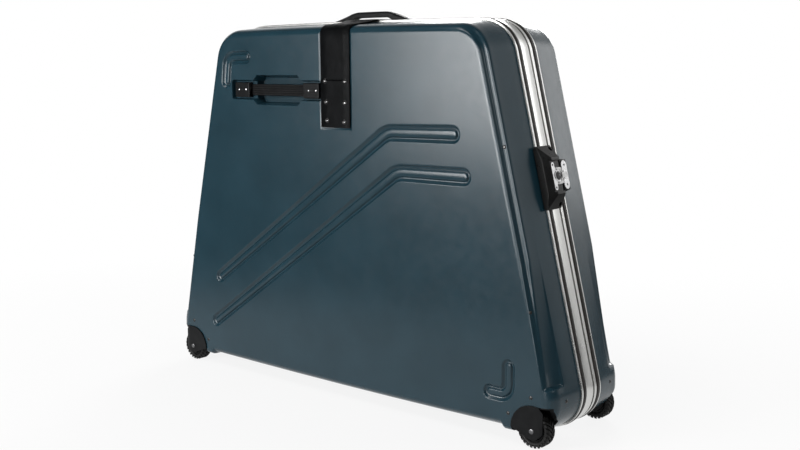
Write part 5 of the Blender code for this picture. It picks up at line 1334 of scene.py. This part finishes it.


# To the eye the floor is nearly white and keeps the case's shadow; to metal it glows with a painted pool of
# light round the case and is dark further out
direct, mirrored = ways_seen(tree)
away = add(tree, "VectorMath", {0: where}, operation="LENGTH").outputs["Value"]
limits = {"Value": away, "From Min": 0.4, "From Max": 2.0, "To Min": 0.86, "To Max": 1.0}
share = add(tree, "MapRange", limits).outputs["Result"]
pool = add(tree, "Mapping", {"Vector": where, "Scale": (0.55, 1.0, 1.0)}).outputs["Vector"]
pool = add(tree, "VectorMath", {0: pool}, operation="LENGTH").outputs["Value"]
strength = add(tree, "Mix", {"Factor": mirrored, "A": 1.0, "B": spread(tree, pool, 0.80, 1.10, 1.0, 0.10)})
share = maths(tree, "MULTIPLY", share, maths(tree, "MAXIMUM", direct, mirrored))
glow = add(tree, "Emission", {"Color": (1, 1, 1, 1), "Strength": strength.outputs["Result"]})
mixed = add(tree, "MixShader", {0: share, 1: shader.outputs[0], 2: glow.outputs[0]})
tree.links.new(mixed.outputs[0], tree.nodes["Material Output"].inputs["Surface"])
pale_floor.cycles.emission_sampling = "NONE"
floor.data.materials.append(pale_floor)

# To the eye the surround is white, to metal it is bright only behind and low down, and to the rest dim
world = bpy.data.worlds.new("white_surround")
bpy.context.scene.world = world
world.use_nodes = True
tree = world.node_tree
background = tree.nodes["Background"]
direct, mirrored = ways_seen(tree)
way = add(tree, "SeparateXYZ", {"Vector": add(tree, "TexCoord").outputs["Generated"]}).outputs
behind, low_down = spread(tree, way["Y"], 0.25, 0.60, 0.0, 1.0), spread(tree, way["Z"], 0.35, 0.80, 1.0, 0.2)
limits = {"Value": maths(tree, "MULTIPLY", behind, low_down), "To Min": 0.06, "To Max": 1.0}
backdrop = add(tree, "MapRange", limits).outputs["Result"]
dim = add(tree, "Mix", {"Factor": mirrored, "A": 0.24, "B": backdrop}).outputs["Result"]
strength = add(tree, "Mix", {"Factor": direct, "A": dim, "B": 1.0}).outputs["Result"]
tree.links.new(strength, background.inputs["Strength"])
background.inputs["Color"].default_value = (1, 1, 1, 1)


def lamp(name, place, aim, wide, high, power, lights=True):
    """A soft rectangular lamp, hidden from the camera; without lights it only shows as a reflection."""
    light = bpy.data.lights.new(name, "AREA")
    light.shape, light.size, light.size_y, light.energy = "RECTANGLE", wide, high, power
    made = bpy.data.objects.new(name, light)
    bpy.context.scene.collection.objects.link(made)
    made.location = place
    made.rotation_euler = (Vector(aim) - Vector(place)).to_track_quat("-Z", "Y").to_euler()
    made.visible_camera, made.visible_diffuse = False, lights


lamp("soft_key", (-1.27, -2.94, 1.02), (0.1, 0, 0.6), 1.35, 1.3, 84)
lamp("soft_over", (-0.6, -1.6, 3.4), (0, 0, 0.5), 1.6, 1.0, 35)
lamp("soft_rim", (1.5, 3.0, 1.5), (0.5, 0.05, 0.6), 1.0, 1.6, 12)
lamp("edge_strip", (-0.42, -2.80, 0.85), (0.45, -0.1, 0.6), 0.55, 1.5, 46, False)
lamp("front_strip", (1.05, -2.90, 0.80), (0.5, -0.1, 0.6), 1.05, 1.5, 46, False)
lamp("soft_side", (2.6, -0.5, 1.7), (0.5, 0, 0.6), 0.9, 0.9, 14)
lamp("soft_back", (-1.3, 2.9, 1.3), (0, 0, 0.5), 1.5, 1.3, 80)

# The camera's place, its turns and its lens were solved from the edges of the frames and the shells
CAMERA, YAW, PITCH, ROLL, LENS = (1.69315, -1.89886, 0.78079), 0.70689, -0.15229, -0.00867, 48.983
ahead = Vector((-math.sin(YAW) * math.cos(PITCH), math.cos(YAW) * math.cos(PITCH), math.sin(PITCH)))
level = Vector((math.cos(YAW), math.sin(YAW), 0))
above = level.cross(ahead)
right = math.cos(ROLL) * level + math.sin(ROLL) * above
upward = math.cos(ROLL) * above - math.sin(ROLL) * level
lens = bpy.data.cameras.new("photo_camera")
lens.lens, lens.sensor_width = LENS, 36.0
camera = bpy.data.objects.new("photo_camera", lens)
bpy.context.scene.collection.objects.link(camera)
camera.matrix_world = Matrix.Translation(CAMERA) @ Matrix((right, upward, -ahead)).transposed().to_4x4()
bpy.context.scene.camera = camera
bpy.context.scene.view_settings.view_transform = "Standard"
